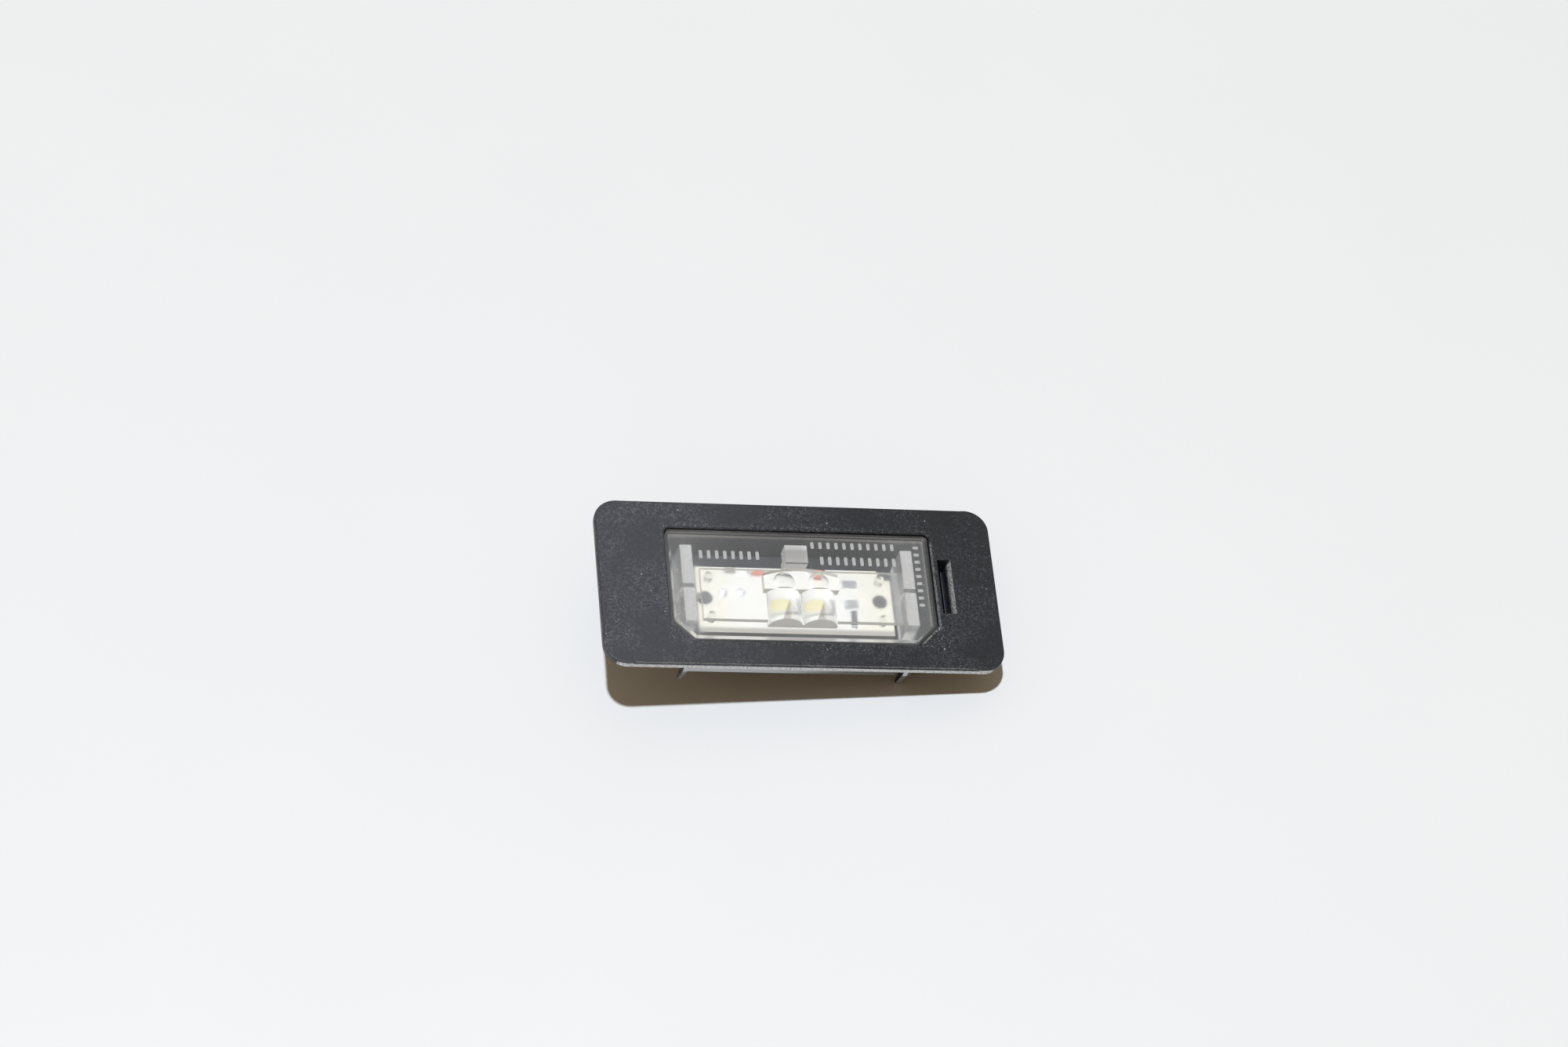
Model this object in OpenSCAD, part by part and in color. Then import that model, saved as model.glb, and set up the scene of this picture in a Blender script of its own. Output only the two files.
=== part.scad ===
// Number plate lamp with two light-emitting diodes, a clear window and a spring catch.
// Frame: origin at the centre of the bezel on the plane where its rim meets the body panel,
// +Z out of the panel towards the number plate, +X towards the release slot.

/* [Bezel] */
// Length of the bezel
bezel_l = 86; // [82:0.5:96]
// Width of the bezel
bezel_w = 39.2; // [38:0.2:46]
// Thickness of the bezel rim
bezel_t = 1.55; // [1.4:0.05:2.4]
// Corner radius of the bezel
bezel_r = 5; // [3:0.5:8]
// Round on the front edge of the bezel
bezel_edge_r = 0.4; // [0.2:0.05:0.6]

/* [Window] */
// Length of the window opening
window_l = 57.7; // [54:0.1:58.4]
// Width of the window opening
window_w = 27; // [24:0.1:28]
// Sideways place of the window centre
window_x = 0.6; // [0:0.1:1]
// Place of the window centre across the lamp
window_y = -0.2; // [-1:0.1:1]
// Radius of the two plain corners of the window
window_r = 1.4; // [0.8:0.1:3]
// Size of the two cut corners of the window
window_cut = 4.7; // [3:0.1:6]
// Bevel around the edge of the opening
window_bevel = 0.3; // [0.1:0.05:0.5]

/* [Cover lens] */
// Gap between the cover lens and the opening
lens_gap = 0.3; // [0.1:0.05:0.5]
// How far the lens face lies below the bezel face
lens_drop = 0.05; // [0:0.05:0.4]
// Thickness of the lens plate
lens_t = 1.5; // [1.2:0.1:2]
// Width of the bevel around the lens face
lens_bevel_w = 0.8; // [0.4:0.1:1.2]
// Height of the bevel around the lens face
lens_bevel_h = 0.55; // [0.3:0.05:0.9]
// Wall of the skirt under the lens plate
lens_skirt_t = 0.9; // [0.7:0.1:1.5]
// Depth of the skirt below the bezel seat
lens_skirt_depth = 1.6; // [1:0.1:2.4]
// Thickness of the legs under the lens
lens_leg_t = 2.5; // [1.5:0.1:3]
// Length of the legs on the far side of the gap
lens_leg_far = 9.3; // [6:0.1:10]
// Length of the legs on the near side of the gap
lens_leg_near = 7.9; // [6:0.1:8.5]
// Gap between two legs, which holds an end of the optic
lens_leg_gap = 1; // [0.8:0.1:1.6]
// Place of the middle of the four legs from the board centre
lens_leg_shift = [-0.25, -0.4];
// Width and depth of the middle post under the lens
lens_post = [4.8, 4.2];
// Sideways place of the middle post from the board centre
lens_post_shift = -0.3; // [-0.6:0.05:0]
// How far the middle post stands over the carrier bar of the optic
lens_post_lap = 0.2; // [0.1:0.05:0.4]
// Play left above what the legs and the post hold down
hold_gap = 0.1; // [0.05:0.05:0.3]

/* [Housing] */
// Wall of the tub around the window
tub_wall = 1.2; // [1:0.05:1.3]
// Width of the ledge that carries the skirt of the lens
ledge_w = 1.2; // [1:0.1:1.6]
// Depth of the tub floor below the bezel seat
tub_depth = 8.5; // [8.3:0.1:12]
// Thickness of the tub floor
floor_t = 1.5; // [1.2:0.1:2]
// Height of the two low ribs under the floor
stiffener_h = 0.7; // [0.4:0.1:1]
// Thickness of the low ribs and of the gussets
stiffener_t = 1; // [0.8:0.1:1.5]
// Distance of each low rib from the middle
stiffener_y = 5; // [3:0.5:5.5]

/* [Guide ribs] */
// Thickness of the guide ribs
guide_t = 1; // [0.8:0.1:1.5]
// How far the guide ribs stand out from the tub
guide_out = 2.1; // [1:0.1:2.4]
// Depth at which the lead-in of a guide rib starts
guide_straight = 6.3; // [4:0.1:8]
// How far the guide ribs reach below the tub floor
guide_below = 2.3; // [1:0.1:2.4]
// Width of the tip of a guide rib
guide_tip = 0.6; // [0.4:0.1:1]
// Distance of the two pairs of guide ribs from the ends of the tub
guide_inset = [4.95, 7.85];

/* [Hook] */
// Thickness of body panel that the hook takes
panel_t = 2.6; // [1:0.1:3]
// Reach of the hook beyond the tub
hook_reach = 5; // [3:0.1:6]
// Thickness of the hook
hook_t = 1.8; // [1.2:0.1:3]
// Width of the hook
hook_w = 11; // [6:0.5:14]
// Lead-in on the tip of the hook
hook_lead = 1.1; // [0.5:0.1:1.5]

/* [Release slot and catch chamber] */
// Width of the release slot
slot_w = 2.95; // [2.5:0.05:3.5]
// Length of the release slot
slot_l = 13.05; // [12.6:0.05:16]
// Place of the slot centre across the lamp
slot_y = 0.5; // [0:0.1:1]
// Depth of the wall on the outer side of the slot
slot_wall_depth = 2.8; // [2:0.1:3]
// How far that wall leans into the slot at its lower end, to guide a tool onto the catch
slot_lean = 0.6; // [0:0.05:0.7]
// Wall of the catch chamber
chamber_wall = 1.2; // [1:0.1:1.5]
// How far the cheeks reach past the outer wall of the slot
cheek_out = 0.7; // [0.3:0.1:1]
// Depth of the catch chamber below the bezel seat
chamber_depth = 10.8; // [10.8:0.1:12]

/* [Spring catch] */
// Thickness of the spring steel
catch_t = 0.5; // [0.4:0.05:0.6]
// Side play of the catch between the cheeks
catch_side_gap = 0.35; // [0.3:0.05:0.6]
// Radius of the bar that the catch turns on
catch_bar_r = 0.6; // [0.5:0.05:0.65]
// Running gap between the bar and the rolled eye
catch_bar_gap = 0.05; // [0.02:0.01:0.1]
// Distance of the bar from the tub wall
catch_bar_x = 3.55; // [3.4:0.05:3.7]
// Height of the bar above the chamber floor
catch_bar_z = 1.4; // [1.4:0.05:1.6]
// Angle at which the strip leaves its rolled eye
catch_leave = 20; // [10:1:30]
// Angles between which the rolled eye is open
catch_open = [99, 172];
// Nose of the catch, sideways and up from the bar
catch_nose = [2.4, 4];
// End of the tail of the catch, sideways and up from the bar
catch_tail = [-1.6, 5];

/* [Circuit board] */
// Room between the board and each end of the window
board_end_room = 7.65; // [7.3:0.05:8]
// Room between the board and each long side of the window
board_side_room = 5.6; // [5:0.1:5.8]
// Room between each end of the board and the legs of the lens
board_leg_room = 1.5; // [1.2:0.1:1.8]
// Thickness of the circuit board
board_t = 1.6; // [1:0.1:1.8]
// Height of the board above the tub floor
board_lift = 0.5; // [0.3:0.1:0.8]
// Place of the board centre from the window centre
board_shift = [-0.1, 0.4];
// Size of the notch in one corner of the board
board_notch = 2.6; // [1:0.1:3]
// Distance of the two locating pegs from the ends of the board
peg_inset = 2.2; // [2:0.1:2.6]
// Place of the middle of the two pegs from the board centre
peg_shift = [-0.5, 0.1];
// Radius of the locating pegs
peg_r = 1.5; // [1:0.05:1.6]
// Gap between a peg and its hole in the board
peg_gap = 0.1; // [0.05:0.05:0.2]
// Height of the pegs above the board
peg_above = 0.5; // [0.3:0.05:0.6]
// Radius of the shoulder under each peg
peg_shoulder_r = 2.5; // [2:0.1:2.6]
// Bevel on the top of a peg
peg_bevel = 0.3; // [0.1:0.05:0.4]

/* [Optic] */
// Gaps between the ends of the carrier bar of the optic and the legs of the lens
optic_end_gap = [2.25, 0.05];
// How much narrower the carrier bar of the optic is than the board
optic_narrower = 3.6; // [3:0.1:4.4]
// Place of the carrier bar across the lamp from the board centre
optic_bar_shift = -0.1; // [-0.3:0.05:0.1]
// Thickness of the carrier bar of the optic
optic_bar_t = 1.2; // [0.8:0.1:1.4]
// Height of the carrier bar above the board
optic_lift = 1.6; // [1.5:0.05:1.8]
// Sideways place of the middle of the lobes from the board centre
optic_shift = 0.6; // [0:0.1:1]
// Distance between the two lobes and between the two diodes
lobe_pitch = 7.5; // [7:0.1:8]
// Height of the lobes above the carrier bar
lobe_h = 3.1; // [2:0.1:3.2]
// Length of the lobes
lobe_l = 7.7; // [6:0.1:8.5]
// Distance of the crown from the far edge of the carrier bar
crown_inset = 0.7; // [0.5:0.1:1.2]
// Radius of the crest of the lobes along their length
lobe_crest_r = 16; // [14:1:40]
// Height of the crown behind the lobes
crown_h = 2; // [1:0.1:2.4]
// How far the crown reaches behind the lobes at its middle
crown_l = 4.9; // [3:0.1:5]
// How far the crown reaches behind the lobes at its ends
crown_end_l = 3.6; // [2:0.1:4]
// Width of the crown
crown_w = 16.2; // [14:0.1:17]
// Radius of the two hollows in the crown
crown_scoop_r = 2.6; // [2:0.1:3]
// Radius of the feet of the optic
optic_foot_r = 0.9; // [0.6:0.1:1.2]
// Distance of the feet of the optic from the ends and edges of its bar
optic_foot_inset = 2.6; // [2:0.1:3.5]
// Play of the ends of the optic in the gaps between the legs
nib_gap = 0.15; // [0.1:0.05:0.25]

/* [Diodes that give the light] */
// Side of the square package
led_size = 3.2; // [2.8:0.1:3.6]
// Height of the package
led_h = 0.75; // [0.6:0.05:0.9]
// Radius of the phosphor
phosphor_r = 1.25; // [0.9:0.05:1.3]
// Depth of the well that holds the phosphor
phosphor_depth = 0.3; // [0.2:0.05:0.4]
// How far the phosphor bulges out of its well
phosphor_bulge = 0.15; // [0.05:0.05:0.25]
// Distance of the diodes from the front end of the lobes
led_from_front = 5.3; // [4:0.1:6]

/* [Small components] */
// Length, width and height of the resistor at the far edge
resistor_upper_size = [3.2, 1.6, 0.6];
// Distance of its centre from the far edge of the board
resistor_upper_inset = 3.85; // [3.5:0.05:4.5]
// Length, width and height of the middle resistor
resistor_middle_size = [2.8, 2, 0.6];
// Gap between the middle resistor and the one at the near edge
resistor_gap = 0.55; // [0.3:0.05:0.8]
// Length, width and height of the resistor at the near edge
resistor_lower_size = [1.3, 3.6, 0.6];
// Distance of its centre from the near edge of the board
resistor_lower_inset = 3.7; // [3:0.1:3.8]
// Sideways places of the three resistors, far to near, from halfway between a diode and a peg
resistor_shift = [0.6, 0.7, 1];
// Length, width and height of the capacitor
capacitor_size = [2.2, 1.3, 0.9];
// Distance of its centre from the far edge of the board
capacitor_inset = 1.2; // [1:0.1:1.4]
// Sideways place of the capacitor from halfway between a protection diode and the end of the board
capacitor_shift = 0.85; // [0.6:0.05:1.1]
// Length of the metal ends of a chip component
chip_end = 0.45; // [0.3:0.05:0.6]
// Thickness of the metal ends on a chip's top and sides
chip_skin = 0.05; // [0.02:0.01:0.1]
// Radius of a glass protection diode
diode_r = 0.7; // [0.5:0.05:0.72]
// Length of a glass protection diode between its caps
diode_l = 2.6; // [2:0.1:3]
// Length of an end cap of a protection diode
diode_cap_l = 0.45; // [0.3:0.05:0.6]
// Sideways distance of the two protection diodes from the middle post
diode_reach = [7.6, 5.5];
// Distance of the two protection diodes from the far edge of the board
diode_inset = [1.6, 1.2];

/* [Connector] */
// Inside length of the connector socket
socket_l = 12.2; // [11.5:0.1:13]
// Inside width of the connector socket
socket_w = 9; // [8.8:0.1:10]
// Wall of the connector socket
socket_wall = 1.2; // [1:0.1:1.5]
// Depth of the socket mouth below the bezel seat
socket_depth = 17; // [15:0.1:18]
// Outer corner radius of the connector socket
socket_r = 1.5; // [1.3:0.1:2]
// Inner corner radius of the connector socket
socket_in_r = 0.7; // [0.4:0.1:1.2]
// Width and height of the two key ribs in the socket
socket_key = [1, 0.6];
// Distance of each key rib from the middle of the socket
socket_key_x = 3.2; // [2.6:0.1:4]
// Distance of the connector socket from the end of the board
socket_inset = 7.6; // [7.2:0.1:8]
// Distance of the connector socket from the middle of the board, towards the far edge
socket_shift = 1.7; // [1.5:0.1:1.8]
// Width and height of the latch on the socket
latch_size = [4, 2.2];
// How far the latch stands out
latch_out = 0.8; // [0.5:0.1:1]
// Distance between the two terminals
terminal_pitch = 3.8; // [3.5:0.1:4.5]
// Width of a terminal blade in the socket
blade_w = 2.2; // [1.5:0.1:2.4]
// Width of a terminal where it passes the board
pin_w = 1.1; // [0.8:0.1:1.4]
// Thickness of the terminals
terminal_t = 0.8; // [0.6:0.1:0.8]
// Distance of the terminals from the middle of the socket, towards the near edge
terminal_shift = 0.2; // [0:0.1:0.3]
// How far the blades end inside the socket mouth
blade_recess = 1.2; // [0.8:0.1:2]
// Gap between a terminal and the slit or hole that it passes
terminal_gap = 0.05; // [0.02:0.01:0.1]
// How far the terminals stand up above the board
pin_above = 0.4; // [0.2:0.05:0.5]
// Radius of a solder joint
solder_r = 1.05; // [0.8:0.05:1.2]
// Height of a solder joint
solder_h = 0.65; // [0.5:0.05:0.8]

/* [Hidden] */

// Facets of a full round surface, of an outline corner and of a hulled corner
round_fn = 48;
corner_steps = 8;
// A cut runs this far past the face it opens
past = 1;
// Two solids of one piece share this much, so that they join
join = 0.2;
// Thin slab at an end of a bevel's hull, and how far a cut bevel runs on past the face
slice = 0.01;
bevel_past = 0.1;
// Least radius of a window corner that is moved inwards
least_r = 0.3;

// Heights, measured from the bezel seat
floor_z = -tub_depth;
floor_low_z = floor_z - floor_t;
board_low_z = floor_z + board_lift;
board_z = board_low_z + board_t;
lens_top_z = bezel_t - lens_drop;
lens_low_z = lens_top_z - lens_t;
optic_low_z = board_z + optic_lift;
optic_z = optic_low_z + optic_bar_t;

// Places that follow from the window and the board
window_right = window_x + window_l / 2;
window_left = window_x - window_l / 2;
tub_right = window_right + tub_wall;
tub_left = window_left - tub_wall;
tub_near_y = window_y - window_w / 2 - tub_wall;
tub_far_y = window_y + window_w / 2 + tub_wall;
guide_x = [tub_left + guide_inset[0], tub_right - guide_inset[1]];
board_l = window_l - 2 * board_end_room;
board_w = window_w - 2 * board_side_room;
board_at = [window_x, window_y] + board_shift;
board_near_y = board_at[1] - board_w / 2;
board_far_y = board_at[1] + board_w / 2;
leg_x = board_l / 2 + board_leg_room;
leg_mid_x = board_at[0] + lens_leg_shift[0];
leg_gap_y = board_at[1] + lens_leg_shift[1];
post_x = board_at[0] + lens_post_shift;
optic_x = board_at[0] + optic_shift;
optic_bar_w = board_w - optic_narrower;
optic_bar_x0 = leg_mid_x - leg_x + optic_end_gap[0];
optic_bar_x1 = leg_mid_x + leg_x - optic_end_gap[1];
optic_bar_y = board_at[1] + optic_bar_shift;
lobe_front_y = optic_bar_y + optic_bar_w / 2 - crown_inset - crown_l - lobe_l;
post_y = optic_bar_y + optic_bar_w / 2 - lens_post_lap;
peg_mid = board_at + peg_shift;
peg_reach = board_l / 2 - peg_inset;
peg_x = [peg_mid[0] - peg_reach, peg_mid[0] + peg_reach];
led_x = [optic_x - lobe_pitch / 2, optic_x + lobe_pitch / 2];
led_y = lobe_front_y + led_from_front;
socket_at = [board_at[0] - board_l / 2 + socket_inset, board_at[1] + socket_shift];
terminal_x = [socket_at[0] - terminal_pitch / 2, socket_at[0] + terminal_pitch / 2];
terminal_y = socket_at[1] - terminal_shift;

// Places of the small components: the resistors stand between a diode and a peg
resistor_x = (led_x[1] + peg_x[1]) / 2;
resistor_upper_at = [resistor_x + resistor_shift[0], board_far_y - resistor_upper_inset];
resistor_lower_at = [resistor_x + resistor_shift[2], board_near_y + resistor_lower_inset];
resistor_middle_y = resistor_lower_at[1] + resistor_lower_size[1] / 2
                    + resistor_gap + resistor_middle_size[1] / 2;
resistor_middle_at = [resistor_x + resistor_shift[1], resistor_middle_y];
diode_left_at = [post_x - diode_reach[0], board_far_y - diode_inset[0]];
diode_right_at = [post_x + diode_reach[1], board_far_y - diode_inset[1]];
capacitor_at = [(diode_left_at[0] + board_at[0] - board_l / 2) / 2 + capacitor_shift,
                board_far_y - capacitor_inset];

// Colours of the chip components: the three resistors, far to near, and the capacitor
chip_tints = [[0.45, 0.45, 0.45], [0.6, 0.6, 0.6], [0.2, 0.2, 0.2], [0.7, 0.66, 0.6]];

// Places in the catch chamber
slot_mid_x = tub_right + slot_w / 2;
slot_out_x = tub_right + slot_w;
chamber_out_x = tub_right + slot_w + chamber_wall;
chamber_w = slot_l + 2 * chamber_wall;
bar_x = tub_right + catch_bar_x;
chamber_floor_z = -chamber_depth + chamber_wall;
bar_z = chamber_floor_z + catch_bar_z;
catch_w = slot_l - 2 * catch_side_gap;
eye_in_r = catch_bar_r + catch_bar_gap;
eye_out_r = eye_in_r + catch_t;

// Points of an arc about c from angle a0 to a1
function arc(c, r, a0, a1) =
    [for (i = [0:corner_steps]) let (a = a0 + (a1 - a0) * i / corner_steps)
        [c[0] + r * cos(a), c[1] + r * sin(a)]];

// Outline of the window moved inwards by d: two round corners far from the viewer, two cut ones near
function window_outline(d) =
    let (x0 = window_left + d, x1 = window_right - d,
         y0 = window_y - window_w / 2 + d, y1 = window_y + window_w / 2 - d,
         r = max(window_r - d, least_r), c = window_cut - d * (2 - sqrt(2)))
    concat([[x0 + c, y0], [x1 - c, y0], [x1, y0 + c]],
           arc([x1 - r, y1 - r], r, 0, 90),
           arc([x0 + r, y1 - r], r, 90, 180),
           [[x0, y0 + c]]);

// Slab of the window outline between two heights
module window_slab(d, z0, z1) {
    translate([0, 0, z0]) linear_extrude(z1 - z0) polygon(window_outline(d));
}

// Rectangle with true round corners
module round_rect(l, w, r) {
    square([l - 2 * r, w], center = true);
    square([l, w - 2 * r], center = true);
    for (sx = [-1, 1], sy = [-1, 1])
        translate([sx * (l / 2 - r), sy * (w / 2 - r)]) circle(r, $fn = round_fn);
}

// Box between two corners
module block(low, high) {
    translate(low) cube(high - low);
}

// Profile drawn in X and Z, extruded across the lamp from y0 to y1
module across(y0, y1) {
    translate([0, y1, 0]) rotate([90, 0, 0]) linear_extrude(y1 - y0) children();
}

// Profile drawn in Y and Z, extruded along the lamp from x0 to x1
module along(x0, x1) {
    translate([x0, 0, 0]) rotate([90, 0, 90]) linear_extrude(x1 - x0) children();
}

// Bezel rim with a rounded front edge: two slabs, four rods and four corner rings
module bezel_plate() {
    f = bezel_edge_r;
    z = bezel_t - f;
    linear_extrude(z) round_rect(bezel_l, bezel_w, bezel_r);
    translate([0, 0, z - join]) linear_extrude(f + join)
        round_rect(bezel_l - 2 * f, bezel_w - 2 * f, bezel_r - f);
    for (s = [-1, 1]) {
        translate([0, s * (bezel_w / 2 - f), z]) rotate([0, 90, 0])
            cylinder(h = bezel_l - 2 * bezel_r, r = f, center = true, $fn = round_fn);
        translate([s * (bezel_l / 2 - f), 0, z]) rotate([90, 0, 0])
            cylinder(h = bezel_w - 2 * bezel_r, r = f, center = true, $fn = round_fn);
        for (t = [-1, 1])
            translate([s * (bezel_l / 2 - bezel_r), t * (bezel_w / 2 - bezel_r), z])
                rotate_extrude($fn = round_fn) translate([bezel_r - f, 0]) circle(f, $fn = round_fn);
    }
}

// Guide rib across the near wall of the tub: straight, then a lead-in that slopes back
module guide_profile() {
    tip_z = floor_low_z - guide_below;
    polygon([[join, join], [-guide_out, join], [-guide_out, -guide_straight],
             [-guide_tip, tip_z], [0, tip_z], [join, floor_low_z + join]]);
}

// The four guide ribs, two on each long side
module guide_ribs() {
    for (x = guide_x) {
        translate([0, tub_near_y, 0]) along(x - guide_t / 2, x + guide_t / 2) guide_profile();
        translate([0, tub_far_y, 0]) along(x - guide_t / 2, x + guide_t / 2)
            mirror([1, 0]) guide_profile();
    }
}

// Fixed hook on the short side away from the slot, with two gussets under it
module hook() {
    tip_x = tub_left - hook_reach;
    low_z = -panel_t - hook_t;
    across(board_at[1] - hook_w / 2, board_at[1] + hook_w / 2)
        polygon([[tub_left + join, -panel_t], [tip_x, -panel_t],
                 [tip_x, low_z + hook_lead], [tip_x + hook_lead, low_z], [tub_left + join, low_z]]);
    for (s = [-1, 1]) {
        y = board_at[1] + s * (hook_w / 2 - stiffener_t / 2);
        across(y - stiffener_t / 2, y + stiffener_t / 2)
            polygon([[tub_left + join, low_z + join], [tip_x + hook_lead, low_z + join],
                     [tip_x + hook_lead, low_z], [tub_left + join, floor_z]]);
    }
}

// Release slot with the room under it: its outer wall leans in towards its lower end
module slot_cut() {
    low_x = slot_out_x - slot_lean;
    across(slot_y - slot_l / 2, slot_y + slot_l / 2)
        polygon([[tub_right, chamber_floor_z], [low_x, chamber_floor_z], [low_x, -slot_wall_depth],
                 [slot_out_x, bezel_t], [slot_out_x, bezel_t + past], [tub_right, bezel_t + past]]);
}

// Chamber around the catch, under the release slot: two cheeks, a floor and a short outer wall
module catch_chamber() {
    difference() {
        block([tub_right - join, slot_y - chamber_w / 2, -chamber_depth],
              [chamber_out_x + cheek_out, slot_y + chamber_w / 2, join]);
        block([slot_mid_x, slot_y - slot_l / 2, chamber_floor_z],
              [chamber_out_x + cheek_out + past, slot_y + slot_l / 2, -slot_wall_depth]);
    }
}

// Socket for the plug, under the near half of the floor, with a latch on one side
module socket() {
    outer_l = socket_l + 2 * socket_wall;
    outer_w = socket_w + 2 * socket_wall;
    translate([socket_at[0], socket_at[1], -socket_depth])
        linear_extrude(socket_depth + floor_low_z + join) round_rect(outer_l, outer_w, socket_r);
    y = socket_at[1] - outer_w / 2;
    top_z = -socket_depth + 2 * latch_size[1];
    translate([socket_at[0] - latch_size[0] / 2, 0, 0]) along(0, latch_size[0])
        polygon([[y + join, top_z], [y - latch_out, top_z],
                 [y - latch_out, top_z - latch_size[1] / 3], [y + join, top_z - latch_size[1]]]);
}

// Two low ribs that tie the socket to the catch chamber
module stiffeners() {
    x0 = socket_at[0] + socket_l / 2 + socket_wall - join;
    for (s = [-1, 1]) {
        y = board_at[1] + s * stiffener_y;
        block([x0, y - stiffener_t / 2, floor_low_z - stiffener_h],
              [tub_right + join, y + stiffener_t / 2, floor_low_z + join]);
    }
}

// Two key ribs on the near wall inside the socket, which let the plug in one way round only
module socket_keys() {
    y = socket_at[1] - socket_w / 2;
    for (s = [-1, 1]) {
        x = socket_at[0] + s * socket_key_x;
        block([x - socket_key[0] / 2, y - join, -socket_depth + blade_recess],
              [x + socket_key[0] / 2, y + socket_key[1], floor_low_z + join]);
    }
}

// Locating peg with the shoulder that carries the board
module board_peg() {
    top_z = board_z + peg_above;
    translate([0, 0, floor_z - join]) rotate_extrude($fn = round_fn)
        polygon([[0, 0], [peg_shoulder_r, 0], [peg_shoulder_r, board_lift + join],
                 [peg_r, board_lift + join], [peg_r, top_z - peg_bevel - floor_z + join],
                 [peg_r - peg_bevel, top_z - floor_z + join], [0, top_z - floor_z + join]]);
}

// One moulding: bezel, tub, guide ribs, hook, catch chamber and connector socket
module housing() color([0.13, 0.13, 0.14]) {
    difference() {
        union() {
            bezel_plate();
            window_slab(-tub_wall, floor_low_z, join);
            guide_ribs();
            hook();
            catch_chamber();
            socket();
            stiffeners();
        }
        window_slab(0, -lens_skirt_depth, bezel_t + past);
        window_slab(ledge_w, floor_z, bezel_t);
        hull() {
            window_slab(0, bezel_t - window_bevel - slice, bezel_t - window_bevel);
            window_slab(-window_bevel - bevel_past, bezel_t + bevel_past, bezel_t + bevel_past + slice);
        }
        slot_cut();
        translate([socket_at[0], socket_at[1], -socket_depth - past])
            linear_extrude(socket_depth + past + floor_low_z) round_rect(socket_l, socket_w, socket_in_r);
        for (x = terminal_x)
            block([x - blade_w / 2 - terminal_gap, terminal_y - terminal_t / 2 - terminal_gap,
                   floor_low_z - past],
                  [x + blade_w / 2 + terminal_gap, terminal_y + terminal_t / 2 + terminal_gap,
                   floor_z + past]);
    }
    socket_keys();
    for (x = peg_x) translate([x, peg_mid[1], 0]) board_peg();
    translate([bar_x, slot_y, bar_z]) rotate([90, 0, 0])
        cylinder(h = slot_l + 2 * join, r = catch_bar_r, center = true, $fn = round_fn);
}

// Clear cover: bevelled plate, skirt, four legs and a middle post
module cover_lens() color([0.8, 0.82, 0.84, 0.5]) {
    bevel_z = lens_top_z - lens_bevel_h;
    difference() {
        union() {
            hull() {
                window_slab(lens_gap, bevel_z - join, bevel_z);
                window_slab(lens_gap + lens_bevel_w, lens_top_z - slice, lens_top_z);
            }
            window_slab(lens_gap, -lens_skirt_depth, bevel_z - join / 2);
        }
        window_slab(lens_gap + lens_skirt_t, -lens_skirt_depth - past, lens_low_z);
    }
    leg_low_z = floor_z + hold_gap;
    for (s = [-1, 1]) {
        x0 = leg_mid_x + s * (leg_x + lens_leg_t / 2) - lens_leg_t / 2;
        block([x0, leg_gap_y + lens_leg_gap / 2, leg_low_z],
              [x0 + lens_leg_t, leg_gap_y + lens_leg_gap / 2 + lens_leg_far, lens_low_z + join]);
        block([x0, leg_gap_y - lens_leg_gap / 2 - lens_leg_near, leg_low_z],
              [x0 + lens_leg_t, leg_gap_y - lens_leg_gap / 2, lens_low_z + join]);
    }
    block([post_x - lens_post[0] / 2, post_y, optic_z + hold_gap],
          [post_x + lens_post[0] / 2, post_y + lens_post[1], lens_low_z + join]);
}

// Cross-section of a lobe: a segment of a circle over the pitch of the lobes
module lobe_section() {
    half = lobe_pitch / 2;
    r = (half * half + lobe_h * lobe_h) / (2 * lobe_h);
    intersection() {
        translate([0, lobe_h - r]) circle(r, $fn = 2 * round_fn);
        translate([-half, -join]) square([lobe_pitch, lobe_h + join]);
    }
}

// One lobe: its cross-section swung about a far axis, so that the crest is bowed along its length
module lobe() {
    sweep = 2 * asin(lobe_l / 2 / lobe_crest_r);
    intersection() {
        translate([0, lobe_front_y + lobe_l / 2, optic_z + lobe_h - lobe_crest_r])
            rotate([0, 90, 0]) rotate([0, 0, 180 - sweep])
                rotate_extrude(angle = 2 * sweep, $fn = 4 * round_fn)
                    translate([lobe_crest_r - lobe_h, 0]) rotate(-90) lobe_section();
        block([-lobe_pitch, lobe_front_y, optic_z - join],
              [lobe_pitch, lobe_front_y + lobe_l, optic_z + lobe_h + past]);
    }
}

// Crown behind the lobes: an arched plan with two round hollows in its top
module crown() {
    y0 = lobe_front_y + lobe_l - join;
    half = crown_w / 2;
    rise = crown_l - crown_end_l;
    r = (half * half + rise * rise) / (2 * rise);
    difference() {
        translate([optic_x, y0, optic_z - join]) linear_extrude(crown_h + join) intersection() {
            translate([0, crown_l + join - r]) circle(r, $fn = 4 * round_fn);
            translate([-half, 0]) square([crown_w, crown_l + 2 * join]);
        }
        for (x = led_x)
            translate([x, y0 + crown_end_l / 2, optic_z + crown_h + crown_scoop_r / 2])
                sphere(crown_scoop_r, $fn = round_fn);
    }
}

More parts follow.
